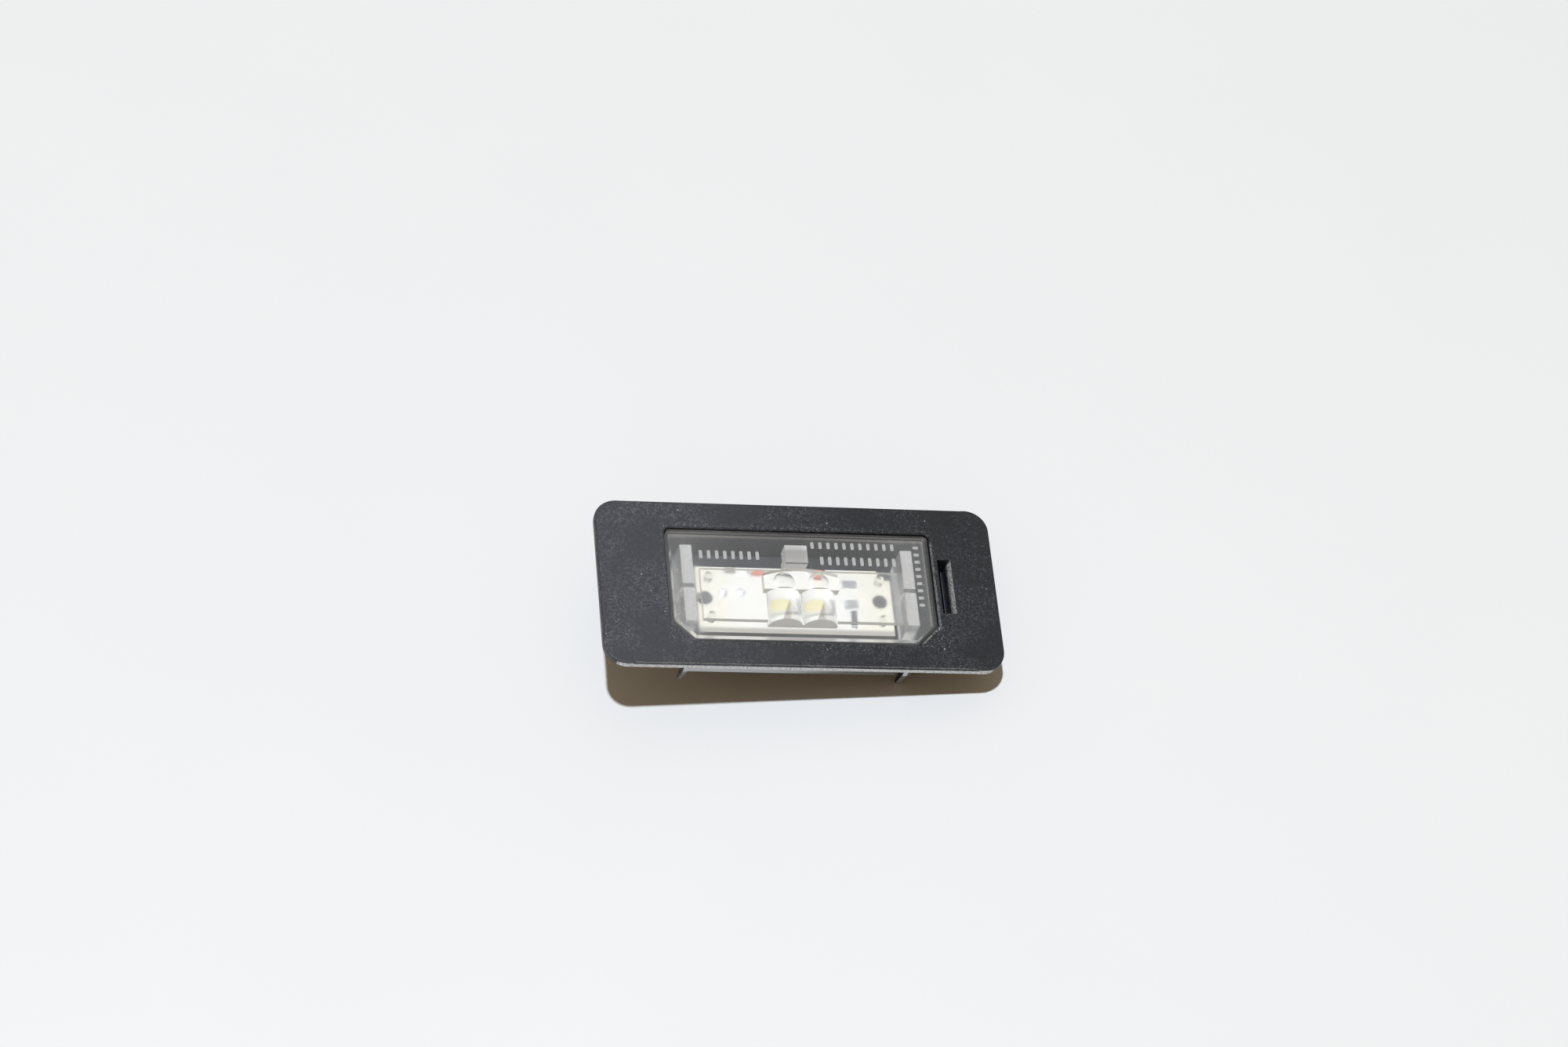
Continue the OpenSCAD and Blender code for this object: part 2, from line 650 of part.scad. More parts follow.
// Clear optic: carrier bar, two lobes, crown, tongue, end nibs and feet
module optic_lens() color([0.85, 0.87, 0.88, 0.5]) {
    half_w = optic_bar_w / 2;
    block([optic_bar_x0, optic_bar_y - half_w, optic_low_z],
          [optic_bar_x1, optic_bar_y + half_w, optic_z]);
    block([led_x[0] - lobe_pitch / 2, lobe_front_y, optic_low_z],
          [led_x[1] + lobe_pitch / 2, optic_bar_y, optic_z]);
    block([post_x - lens_post[0] / 2, optic_bar_y, optic_low_z],
          [post_x + lens_post[0] / 2, post_y + lens_post[1] / 2, optic_z]);
    nib_half = lens_leg_gap / 2 - nib_gap;
    block([leg_mid_x - leg_x - lens_leg_t, leg_gap_y - nib_half, optic_low_z],
          [leg_mid_x + leg_x + lens_leg_t, leg_gap_y + nib_half, optic_z]);
    for (x = led_x) translate([x, 0, 0]) lobe();
    crown();
    for (sx = [-1, 1], sy = [-1, 1])
        translate([board_at[0] + sx * (board_l / 2 - optic_foot_inset),
                   optic_bar_y + sy * (half_w - optic_foot_inset / 2), board_z])
            cylinder(h = optic_lift + join, r = optic_foot_r, $fn = round_fn);
}

// Board with one notched corner, two peg holes and two terminal holes
module circuit_board() color([0.95, 0.94, 0.88]) {
    difference() {
        block([board_at[0] - board_l / 2, board_at[1] - board_w / 2, board_low_z],
              [board_at[0] + board_l / 2, board_at[1] + board_w / 2, board_z]);
        block([board_at[0] + board_l / 2 - board_notch, board_at[1] + board_w / 2 - board_notch,
               board_low_z - past],
              [board_at[0] + board_l / 2 + past, board_at[1] + board_w / 2 + past, board_z + past]);
        for (x = peg_x)
            translate([x, peg_mid[1], board_low_z - past])
                cylinder(h = board_t + 2 * past, r = peg_r + peg_gap, $fn = round_fn);
        for (x = terminal_x)
            translate([x, terminal_y, board_low_z - past])
                cylinder(h = board_t + 2 * past, r = hole_r(), $fn = round_fn);
    }
}

// Radius of the hole that clears the corners of a terminal pin
function hole_r() = sqrt(pin_w * pin_w + terminal_t * terminal_t) / 2 + terminal_gap;

// White package of a light-emitting diode with a round well
module led(x) color([0.96, 0.95, 0.9]) {
    difference() {
        block([x - led_size / 2, led_y - led_size / 2, board_z],
              [x + led_size / 2, led_y + led_size / 2, board_z + led_h]);
        translate([x, led_y, board_z + led_h - phosphor_depth])
            cylinder(h = phosphor_depth + past, r = phosphor_r, $fn = round_fn);
    }
}

// Phosphor filling of the well, with a slightly domed face
module phosphor(x) color([0.95, 0.85, 0.25]) {
    r = (phosphor_r * phosphor_r + phosphor_bulge * phosphor_bulge) / (2 * phosphor_bulge);
    top_z = board_z + led_h + phosphor_bulge;
    translate([x, led_y, 0]) intersection() {
        translate([0, 0, board_z + led_h - phosphor_depth])
            cylinder(h = phosphor_depth + phosphor_bulge, r = phosphor_r, $fn = round_fn);
        translate([0, 0, top_z - r]) sphere(r, $fn = 2 * round_fn);
    }
}

// Chip component: a body between two slightly larger metal ends
module chip(at, size, tint) {
    long_x = size[0] >= size[1];
    end = long_x ? [chip_end, size[1], size[2]] : [size[0], chip_end, size[2]];
    inset = long_x ? [0, chip_skin, 0] : [chip_skin, 0, 0];
    body = size - 2 * inset - [0, 0, chip_skin];
    color(tint) translate([at[0] - size[0] / 2, at[1] - size[1] / 2, board_z]) {
        translate(inset) cube(body);
        cube(end);
        translate(long_x ? [size[0] - chip_end, 0, 0] : [0, size[1] - chip_end, 0]) cube(end);
    }
}

// Glass body of a protection diode, lying on the board
module diode(at) color([0.85, 0.35, 0.2]) {
    translate([at[0], at[1], board_z + diode_r]) rotate([0, 90, 0])
        cylinder(h = diode_l, r = diode_r, center = true, $fn = round_fn);
}

// The metal caps on both ends of the two protection diodes
module diode_end_caps() color([0.75, 0.75, 0.76]) {
    for (at = [diode_left_at, diode_right_at], s = [-1, 1])
        translate([at[0] + s * (diode_l + diode_cap_l) / 2, at[1], board_z + diode_r])
            rotate([0, 90, 0]) cylinder(h = diode_cap_l, r = diode_r, center = true, $fn = round_fn);
}

// Domed solder joint around the end of a terminal
module solder(x) color([0.6, 0.6, 0.6]) {
    r = (solder_r * solder_r + solder_h * solder_h) / (2 * solder_h);
    difference() {
        intersection() {
            translate([x, terminal_y, board_z + solder_h - r]) sphere(r, $fn = 2 * round_fn);
            translate([x, terminal_y, board_z]) cylinder(h = solder_h, r = solder_r, $fn = round_fn);
        }
        block([x - pin_w / 2, terminal_y - terminal_t / 2, board_z - past],
              [x + pin_w / 2, terminal_y + terminal_t / 2, board_z + pin_above]);
    }
}

// Terminal: a blade in the socket that narrows to a pin through the board
module terminal(x) color([0.8, 0.78, 0.7]) {
    tip_z = -socket_depth + blade_recess;
    chamfer = blade_w / 4;
    across(terminal_y - terminal_t / 2, terminal_y + terminal_t / 2)
        polygon([[x - blade_w / 2, floor_z], [x - blade_w / 2, tip_z + chamfer],
                 [x - blade_w / 2 + chamfer, tip_z], [x + blade_w / 2 - chamfer, tip_z],
                 [x + blade_w / 2, tip_z + chamfer], [x + blade_w / 2, floor_z],
                 [x + pin_w / 2, floor_z], [x + pin_w / 2, board_z + pin_above],
                 [x - pin_w / 2, board_z + pin_above], [x - pin_w / 2, floor_z]]);
}

// Straight strip of the spring steel between two points, with round ends
module strip(a, b) {
    d = b - a;
    translate(a) rotate(atan2(d[1], d[0])) translate([0, -catch_t / 2]) square([norm(d), catch_t]);
    for (p = [a, b]) translate(p) circle(catch_t / 2, $fn = round_fn / 2);
}

// Spring catch: a rolled eye on the bar, a riser, a nose and a tail under the slot
module spring_catch() color([0.72, 0.72, 0.74]) {
    eye_mid_r = eye_in_r + catch_t / 2;
    start = eye_mid_r * [cos(catch_leave), sin(catch_leave)];
    translate([bar_x, 0, bar_z]) across(slot_y - catch_w / 2, slot_y + catch_w / 2) difference() {
        union() {
            circle(eye_out_r, $fn = round_fn);
            strip(start, catch_nose);
            strip(catch_nose, catch_tail);
        }
        circle(eye_in_r, $fn = round_fn);
        polygon(concat([[0, 0]], arc([0, 0], 2 * eye_out_r, catch_open[0], catch_open[1])));
    }
}

housing();
cover_lens();
optic_lens();
circuit_board();
led(led_x[0]);  // led_left
led(led_x[1]);  // led_right
phosphor(led_x[0]);  // phosphor_left
phosphor(led_x[1]);  // phosphor_right
chip(resistor_upper_at, resistor_upper_size, chip_tints[0]);  // resistor_upper
chip(resistor_middle_at, resistor_middle_size, chip_tints[1]);  // resistor_middle
chip(resistor_lower_at, resistor_lower_size, chip_tints[2]);  // resistor_lower
chip(capacitor_at, capacitor_size, chip_tints[3]);  // capacitor
diode(diode_left_at);  // diode_left
diode(diode_right_at);  // diode_right
diode_end_caps();
solder(terminal_x[0]);  // solder_left
solder(terminal_x[1]);  // solder_right
terminal(terminal_x[0]);  // terminal_left
terminal(terminal_x[1]);  // terminal_right
spring_catch();
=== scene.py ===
"""Looks of a clip-in number plate lamp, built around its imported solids.

Each sub-assembly is a class that builds its fine pieces and dresses them and the solids it owns. Places are
in metres in the frame of the solids, and sizes are written as millimetres times MM.
"""

import logging
import math
from dataclasses import dataclass
from enum import Enum

import bpy
import numpy as np
from mathutils import Matrix, Vector


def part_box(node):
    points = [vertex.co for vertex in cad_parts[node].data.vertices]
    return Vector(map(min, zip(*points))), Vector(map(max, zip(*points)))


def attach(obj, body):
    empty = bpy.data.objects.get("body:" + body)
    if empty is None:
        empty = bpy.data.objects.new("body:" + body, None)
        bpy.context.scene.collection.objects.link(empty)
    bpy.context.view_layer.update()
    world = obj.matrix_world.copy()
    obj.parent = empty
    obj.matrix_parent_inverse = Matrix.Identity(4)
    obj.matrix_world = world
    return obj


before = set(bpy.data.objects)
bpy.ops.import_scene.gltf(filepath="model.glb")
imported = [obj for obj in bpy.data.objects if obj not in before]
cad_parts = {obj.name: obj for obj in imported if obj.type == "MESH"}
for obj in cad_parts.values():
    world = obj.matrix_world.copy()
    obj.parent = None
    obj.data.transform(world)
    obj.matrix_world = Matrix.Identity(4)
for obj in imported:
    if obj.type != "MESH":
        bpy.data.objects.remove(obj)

MM = 0.001
SHARP_DEG = 40  # faces that meet at more than this keep a sharp edge
BOARD = "circuit_board"
LOG = logging.getLogger("number_plate_lamp")
Colour = tuple[float, float, float]
Point = tuple[float, float, float]
Place = tuple[float, float]
Span = tuple[float, float]
Socket = bpy.types.NodeSocket


class Body(Enum):
    """Bodies of the record that new pieces ride on."""

    LAMP = "lamp"


class Slot(Enum):
    """Names of material slots of the record."""

    COVER = "clear_cover"
    BOARD = "board"
    TINNED = "tinned_metal"
    PLASTIC = "black_plastic"


class Along(Enum):
    """Axis that a small part lies along, as the number of its coordinate."""

    X = 0
    Y = 1


def shade(colour: Colour, share: float) -> Colour:
    """Colour times a share, and never above 1."""
    return tuple(min(1.0, share * channel) for channel in colour)


class Tree:
    """Node tree that is written as short calls."""

    def __init__(self, tree: bpy.types.NodeTree) -> None:
        """Take over a tree and empty it.

        Args:
            tree: Node tree of a material or of a world.
        """
        tree.nodes.clear()
        self.tree = tree

    def put(self, target: Socket, value: object) -> None:
        """Link a socket to an input, or write a constant on it.

        Args:
            target: Input socket.
            value: Output socket, number or colour.
        """
        if isinstance(value, bpy.types.NodeSocket):
            self.tree.links.new(value, target)
        elif isinstance(value, tuple) and len(value) == 3 and target.type == "RGBA":
            target.default_value = (*value, 1.0)
        else:
            target.default_value = value

    def node(self, kind: str, inputs: dict[str | int, object], **settings: object) -> bpy.types.Node:
        """Add a node.

        Args:
            kind: Type of the node.
            inputs: Values or links for its inputs, by name or number.
            settings: Properties of the node.

        Returns:
            The node.
        """
        made = self.tree.nodes.new(kind)
        for key, value in settings.items():
            setattr(made, key, value)
        for key, value in inputs.items():
            self.put(made.inputs[key], value)
        return made

    def maths(self, operation: str, *values: object) -> Socket:
        """Result of a maths node."""
        return self.node("ShaderNodeMath", dict(enumerate(values)), operation=operation).outputs[0]

    def product(self, *values: object) -> Socket:
        """Product of two or more values.

        Args:
            values: Sockets or numbers.

        Returns:
            What they make when multiplied, from the first to the last.
        """
        result = values[0]
        for value in values[1:]:
            result = self.maths("MULTIPLY", result, value)
        return result


class Graph(Tree):
    """Node tree of one material."""

    def __init__(self, name: str) -> None:
        """Start an empty material.

        Args:
            name: Name of the material.
        """
        self.material = bpy.data.materials.new(name)
        self.material.use_nodes = True
        super().__init__(self.material.node_tree)
        self.output = self.tree.nodes.new("ShaderNodeOutputMaterial")
        self.place = self.tree.nodes.new("ShaderNodeTexCoord").outputs["Object"]

    def stretch(self, scale: Point) -> Socket:
        """Object coordinates scaled along each axis."""
        return self.node("ShaderNodeMapping", {"Vector": self.place, "Scale": scale}).outputs[0]

    def noise(self, scale: float, detail: float = 2.0, vector: Socket | None = None) -> Socket:
        """Soft noise with a given number of cells per metre."""
        inputs = {"Vector": vector or self.place, "Scale": scale, "Detail": detail}
        return self.node("ShaderNodeTexNoise", inputs).outputs[0]

    def cells(self, scale: float) -> Socket:
        """Distance to the nearest of scattered points, with a given number of cells per metre."""
        return self.node("ShaderNodeTexVoronoi", {"Vector": self.place, "Scale": scale}).outputs["Distance"]

    def step(self, value: Socket, low: float, high: float) -> Socket:
        """Smooth rise from 0 at low to 1 at high, also where low is above high.

        Args:
            value: Number to look at.
            low: Value where the result is 0.
            high: Value where it is 1.

        Returns:
            The result, from 0 to 1.
        """
        begin, end = (0.0, 1.0) if low < high else (1.0, 0.0)
        inputs = {"Value": value, "From Min": min(low, high), "From Max": max(low, high),
                  "To Min": begin, "To Max": end}
        return self.node("ShaderNodeMapRange", inputs, interpolation_type="SMOOTHSTEP").outputs[0]

    def between(self, low: object, high: object, factor: Socket) -> Socket:
        """Number that runs from low to high with the factor."""
        inputs = {"Value": factor, "To Min": low, "To Max": high}
        return self.node("ShaderNodeMapRange", inputs).outputs[0]

    def blend(self, factor: Socket, first: object, second: object) -> Socket:
        """Colour that runs from the first to the second with the factor.

        Args:
            factor: Share of the second colour.
            first: Colour or socket.
            second: Colour or socket.

        Returns:
            The colour.
        """
        made = self.node("ShaderNodeMix", {}, data_type="RGBA")
        for index, value in ((0, factor), (6, first), (7, second)):
            self.put(made.inputs[index], value)
        return made.outputs[2]

    def axis(self, index: int) -> Socket:
        """One object coordinate, 0 for X, 1 for Y and 2 for Z."""
        return self.node("ShaderNodeSeparateXYZ", {0: self.place}).outputs[index]

    def facing(self, index: int, normal: str = "True Normal") -> Socket:
        """One coordinate of the surface's normal, 0 for X, 1 for Y and 2 for Z."""
        return self.node("ShaderNodeSeparateXYZ", {0: self.geometry(normal)}).outputs[index]

    def geometry(self, name: str) -> Socket:
        """One output of the geometry node."""
        return self.node("ShaderNodeNewGeometry", {}).outputs[name]

    def bump(self, height: Socket, distance: float, strength: object = 1.0,
             normal: Socket | None = None) -> Socket:
        """Normal raised by a height pattern.

        Args:
            height: Height from 0 to 1.
            distance: What a height of 1 stands for, in metres.
            strength: Share of the effect.
            normal: Normal to start from.

        Returns:
            The raised normal.
        """
        inputs = {"Height": height, "Distance": distance, "Strength": strength}
        if normal is not None:
            inputs["Normal"] = normal
        return self.node("ShaderNodeBump", inputs).outputs[0]

    def lean(self, normal: Socket, share: object) -> Socket:
        """Normal that leans up by a share of Z, as that of a rounded or matt face does.

        Args:
            normal: Normal to start from.
            share: Length of Z that is added before the normal is made as long as 1 again.

        Returns:
            The leaning normal.
        """
        up = self.node("ShaderNodeCombineXYZ", {"Z": share}).outputs[0]
        added = self.node("ShaderNodeVectorMath", {0: normal, 1: up}, operation="ADD").outputs[0]
        return self.node("ShaderNodeVectorMath", {0: added}, operation="NORMALIZE").outputs[0]

    def soft_edges(self, radius: float) -> Socket:
        """Normal that rounds sharp edges by a small radius."""
        return self.node("ShaderNodeBevel", {"Radius": radius}, samples=4).outputs[0]

    def surface(self, inputs: dict[str, object]) -> bpy.types.Material:
        """Finish the material with one Principled shader.

        Args:
            inputs: Values or links for the shader's inputs.

        Returns:
            The finished material.
        """
        shader = self.node("ShaderNodeBsdfPrincipled", inputs)
        self.put(self.output.inputs["Surface"], shader.outputs[0])
        return self.material

    def see_through(self, factor: Socket, inputs: dict[str, object]) -> bpy.types.Material:
        """Finish the material with a Principled shader that is open where the factor is 1.

        Args:
            factor: Share of the light that passes straight through.
            inputs: Values or links for the shader's inputs.

        Returns:
            The finished material.
        """
        shader = self.node("ShaderNodeBsdfPrincipled", inputs)
        open_way = self.node("ShaderNodeBsdfTransparent", {})
        mixed = self.node("ShaderNodeMixShader", {0: factor, 1: shader.outputs[0], 2: open_way.outputs[0]})
        self.put(self.output.inputs["Surface"], mixed.outputs[0])
        return self.material

    def clear_surface(self, inputs: dict[str, object]) -> bpy.types.Material:
        """Finish the material with a clear Principled shader that lets light through to what lies behind.

        Shadow rays and the rays of diffuse light pass straight through, so each light counts once and without
        grain, and what the eye sees is still bent and mirrored.

        Args:
            inputs: Values or links for the shader's inputs.

        Returns:
            The finished material.
        """
        path = self.node("ShaderNodeLightPath", {}).outputs
        return self.see_through(self.maths("MAXIMUM", path["Is Shadow Ray"], path["Is Diffuse Ray"]), inputs)


@dataclass(frozen=True)
class Specks:
    """Scattered specks that lie in patches.

    Attributes:
        cells: Specks per metre.
        reach: Distances from a speck's middle, in cells, where it begins and where it is whole.
        patches: Patches per metre.
        spread: Values of the patches' noise where a patch begins and where it is whole.
    """

    cells: float
    reach: Span
    patches: float
    spread: Span

    def mask(self, g: Graph) -> Socket:
        """Mask that is 1 on the specks."""
        return g.product(g.step(g.cells(self.cells), *self.reach),
                         g.step(g.noise(self.patches, 1.0), *self.spread))


@dataclass(frozen=True)
class MouldedBlack:
    """Black moulding: eroded and lightly dusted face, smoother and glossier sides and back, with painted
    light: a paler face towards the left end, a darker far corner, and pale painted highlights on the near
    side, on the release slot's wall and along the window's edge.

    Attributes:
        pit: Colour in the pits of the grain.
        crest: Colour on its crests.
        lit_end_pit: Colour in the pits towards the left end, paler there as painted sheen.
        lit_end_crest: Colour on the crests towards the left end, paler there as painted sheen.
        painted_near_sheen: Colour of the rim's near side, pale as a painted reflection of the table.
        painted_sheen_tub: Share of that painted reflection on the tub's near side, below the rim.
        painted_sheen_pit: Share of that painted reflection in the pits of the grain.
        slot_painted_sheen: Pale colour on the outer wall of the release slot, a painted sheen of grazing
            light.
        dust: Colour of the specks of dust, and of the painted highlight along the window's edge.
        small: Small specks of dust.
        large: Large specks of dust.
        lint: Lint along the window's border.
        grain_cells: Cells per metre of the grain.
        grain_depth: Depth of the grain.
        cloud_cells: Cells per metre of the clouds in which the grain and the dust vary.
        cloud_shift: How far the clouds shift the border of the paler left end.
        lit_end_x: Where the painted sheen of the left end begins and where it is whole.
        shaded_corner_sum: Sums of x and y where the painted shade of the far corner begins and where it is
            whole.
        shaded_corner_share: Share of the crests that is left at that darker corner.
        thin_share: Share of the crests that is left where the clouds are thin.
        crests_at: Values of the grain's noise where a crest begins and where it is whole.
        pits_at: Values where the pits of the near side end and where its crests are whole.
        slot_at: Values where the painted sheen of the slot's wall begins and where it is dense.
        edge_light_at: Values where the painted highlight on the window's edge begins to show and where it is
            whole.
        shine_at: Values where the shine of the rim begins to rise and where it is full.
        edge_r: Radius of sharp edges.
        index: Refractive index of the plastic.
        rough: Roughness of the sides and of the face, in the pits of the grain.
        rough_grain: What the grain adds to it.
        side_grain: Share of the grain's depth that the sides have.
        shine_index: Refractive index of the shine on the near side, high because it mirrors the table.
        shine_rough: Roughness of that shine.
        shine_tub: Weight of that shine on the tub.
        shine_pit: Weight of that shine in the pits of the rim.
        rim_lean: How far the rim's near side leans up.
        rim_z: Where the rim begins above the tub and where it is whole.
        face_z: Height of the face.
        middle: Centre of the window.
        window: Half length and half width of the window's opening.
        cut: Size of its two cut corners.
        lint_w: Distances from the window where the lint begins and where it is dense.
        edge_light_w: Distances from the window where its painted edge highlight begins and where it is whole.
        edge_light_x: Where the painted edge highlight begins along X and where it is whole.
        edge_light_far_y: Where it begins at the far corner and where it is whole.
        near_side_y: Where the near sides of the tub and of the rim begin.
        slot_wall_x: Where the outer wall of the release slot begins and where it ends.
        slot_wall_z: Heights where its painted sheen begins and where it is dense.
        face_up: Z of the normal where a face begins to count as the front and where it does.
        near_facing: Y of the normal where a face begins to count as a near side and where it does.
        slot_facing: X of the normal where a wall begins to count as the slot's outer wall and where it does.
        fade: Width over which a mask fades at a border.
    """

    pit: Colour = (0.0035, 0.0038, 0.0050)
    crest: Colour = (0.036, 0.038, 0.045)
    lit_end_pit: Colour = (0.040, 0.0405, 0.048)
    lit_end_crest: Colour = (0.084, 0.086, 0.098)
    painted_near_sheen: Colour = (0.52, 0.52, 0.525)
    painted_sheen_tub: float = 0.25
    painted_sheen_pit: float = 0.35
    slot_painted_sheen: Colour = (0.78, 0.78, 0.80)
    dust: Colour = (0.40, 0.41, 0.43)
    small: Specks = Specks(2600.0, (0.26, 0.12), 900.0, (0.52, 0.58))
    large: Specks = Specks(520.0, (0.11, 0.05), 330.0, (0.52, 0.56))
    lint: Specks = Specks(2900.0, (0.30, 0.16), 1400.0, (0.42, 0.50))
    grain_cells: float = 2300.0
    grain_depth: float = 0.03 * MM
    cloud_cells: float = 85.0
    cloud_shift: float = 16 * MM
    lit_end_x: Span = (34 * MM, -30 * MM)
    shaded_corner_sum: Span = (42 * MM, 62 * MM)
    shaded_corner_share: float = 0.45
    thin_share: float = 0.25
    crests_at: Span = (0.42, 0.66)
    pits_at: Span = (0.36, 0.62)
    slot_at: Span = (0.30, 0.58)
    edge_light_at: Span = (0.3, 0.6)
    shine_at: Span = (0.4, 0.6)
    edge_r: float = 0.12 * MM
    index: float = 1.38
    rough: Span = (0.36, 0.5)
    rough_grain: float = 0.12
    side_grain: float = 0.25
    shine_index: float = 3.8
    shine_rough: float = 0.16
    shine_tub: float = 0.9
    shine_pit: float = 0.6
    rim_lean: float = 0.4
    rim_z: Span = (-0.3 * MM, -0.1 * MM)
    face_z: float = 1.0 * MM
    middle: Place = (0.6 * MM, -0.2 * MM)
    window: Place = (28.85 * MM, 13.5 * MM)
    cut: float = 4.5 * MM
    lint_w: Span = (1.5 * MM, 0.3 * MM)
    edge_light_w: Span = (0.42 * MM, 0.30 * MM)
    edge_light_x: Span = (22 * MM, 25 * MM)
    edge_light_far_y: Span = (12.0 * MM, 10.5 * MM)
    near_side_y: float = -13.9 * MM
    slot_wall_x: Span = (32.6 * MM, 34.2 * MM)
    slot_wall_z: Span = (-1.6 * MM, 0.6 * MM)
    face_up: Span = (0.5, 0.8)
    near_facing: Span = (-0.85, -0.97)
    slot_facing: Span = (-0.7, -0.9)
    fade: float = 0.1 * MM

    def material(self) -> bpy.types.Material:
        """Build the material.

        Returns:
            The material.
        """
        g = Graph("moulded_black")
        cloud = g.noise(self.cloud_cells, 3.0)
        fine = g.noise(self.grain_cells, 4.0)
        face = self.face_mask(g)
        near_side_faces = self.near_side_mask(g)
        on_rim = g.step(g.axis(2), *self.rim_z)
        # painted highlight along the window's edge, shown in the colour of the dust together with the real
        # specks
        edge = g.product(self.edge_mask(g), g.step(fine, *self.edge_light_at))
        marks = g.maths("MAXIMUM", self.dust_mask(g, cloud), edge)
        tint = g.blend(g.product(marks, face), self.grain_tint(g, fine, cloud), self.dust)
        # painted reflection: the rim's near side is coloured pale, the tub below it less so, the pits of the
        # grain less again
        painted_near_sheen = g.blend(on_rim, shade(self.painted_near_sheen, self.painted_sheen_tub), self.painted_near_sheen)
        painted_near_sheen = g.blend(g.step(fine, *self.pits_at), shade(self.painted_near_sheen, self.painted_sheen_pit), painted_near_sheen)
        tint = g.blend(near_side_faces, tint, painted_near_sheen)
        # painted sheen of grazing light on the slot's outer wall
        tint = g.blend(g.product(self.slot_mask(g), g.step(fine, *self.slot_at)), tint, self.slot_painted_sheen)
        rough = g.maths("ADD", g.between(*self.rough, face), g.product(fine, self.rough_grain))
        depth = g.between(self.side_grain, 1.0, face)
        raised = g.bump(fine, self.grain_depth, depth, g.soft_edges(self.edge_r))
        rim_shine = g.between(self.shine_pit, 1.0, g.step(fine, *self.shine_at))
        shine = g.between(self.shine_tub, rim_shine, on_rim)
        return g.surface({"Base Color": tint, "Roughness": rough, "IOR": self.index,
                          "Normal": g.lean(raised, g.product(near_side_faces, on_rim, self.rim_lean)),
                          "Coat Weight": g.product(near_side_faces, shine), "Coat IOR": self.shine_index,
                          "Coat Roughness": self.shine_rough})

    def grain_tint(self, g: Graph, fine: Socket, cloud: Socket) -> Socket:
        """Colour of the grain, made lighter towards the left end by painted sheen and darker at the far
        corner by painted shade.

        Args:
            g: Node tree to add to.
            fine: Noise of the grain.
            cloud: Large soft noise.

        Returns:
            The colour.
        """
        along = g.maths("ADD", g.axis(0), g.product(cloud, self.cloud_shift))
        # painted sheen: the grain is paler towards the left end
        lit_end = g.step(along, *self.lit_end_x)
        # painted shade: fewer crests, so a darker face, at the far corner
        shaded_corner = g.step(g.maths("ADD", along, g.axis(1)), *self.shaded_corner_sum)
        dense = g.between(self.thin_share, 1.0, g.step(cloud, 0.38, 0.6))
        crests = g.product(g.step(fine, *self.crests_at), dense, g.between(1.0, self.shaded_corner_share, shaded_corner))
        pits = g.blend(lit_end, self.pit, self.lit_end_pit)
        return g.blend(crests, pits, g.blend(lit_end, self.crest, self.lit_end_crest))

    def face_mask(self, g: Graph) -> Socket:
        """Mask that is 1 on the front face of the bezel and 0 elsewhere."""
        up = g.step(g.facing(2, "Normal"), *self.face_up)
        return g.product(up, g.step(g.axis(2), self.face_z - self.fade, self.face_z))

    def dust_mask(self, g: Graph, cloud: Socket) -> Socket:
        """Mask of small bright specks, most of them where the clouds are dense, and of the window's lint.

        Args:
            g: Node tree to add to.
            cloud: Large soft noise.

        Returns:
            The mask.
        """
        specks = g.maths("MAXIMUM", g.product(self.small.mask(g), 0.6), self.large.mask(g))
        dust = g.product(specks, g.between(0.15, 1.0, g.step(cloud, 0.42, 0.6)))
        beyond = []
        for i in (0, 1):
            from_middle = g.maths("ABSOLUTE", g.maths("SUBTRACT", g.axis(i), self.middle[i]))
            beyond.append(g.maths("SUBTRACT", from_middle, self.window[i]))
        border = g.step(g.maths("MAXIMUM", *beyond), *self.lint_w)
        return g.maths("MAXIMUM", dust, g.product(self.lint.mask(g), border, 0.7))

    def edge_mask(self, g: Graph) -> Socket:
        """Mask of the painted highlight along the window's edge, on the side of the release slot and along
        the cut corner.

        With u the way beyond the window's end and v the way beyond its near side, the way out of the window
        is u, or at the corner the sum of u, v and the cut, times the root of a half, whichever is more.

        Args:
            g: Node tree to add to.

        Returns:
            The mask.
        """
        beyond_x = g.maths("SUBTRACT", g.axis(0), self.middle[0] + self.window[0])
        beyond_y = g.maths("SUBTRACT", self.middle[1] - self.window[1], g.axis(1))
        sides = g.maths("ADD", beyond_x, beyond_y)
        corner = g.product(g.maths("ADD", sides, self.cut), math.sqrt(0.5))
        line = g.step(g.maths("MAXIMUM", beyond_x, corner), *self.edge_light_w)
        before_side = g.step(beyond_y, 0.0, -0.5 * MM)
        before_corner = g.step(g.axis(1), *self.edge_light_far_y)
        return g.product(g.step(g.axis(0), *self.edge_light_x), line, g.product(before_side, before_corner), 0.6)

    def slot_mask(self, g: Graph) -> Socket:
        """Mask of the outer wall of the release slot, which faces the window.

        Args:
            g: Node tree to add to.

        Returns:
            The mask.
        """
        begin, end = self.slot_wall_x
        place = g.product(g.step(g.axis(0), begin, begin + self.fade),
                          g.step(g.axis(0), end, end - self.fade))
        inward = g.step(g.facing(0), *self.slot_facing)
        return g.product(inward, place, g.step(g.axis(2), *self.slot_wall_z))

    def near_side_mask(self, g: Graph) -> Socket:
        """Mask that is 1 on what faces the near side, on the rim and on the tub below it."""
        near = g.step(g.facing(1), *self.near_facing)
        return g.product(near, g.step(g.axis(1), self.near_side_y, self.near_side_y - 2 * self.fade))


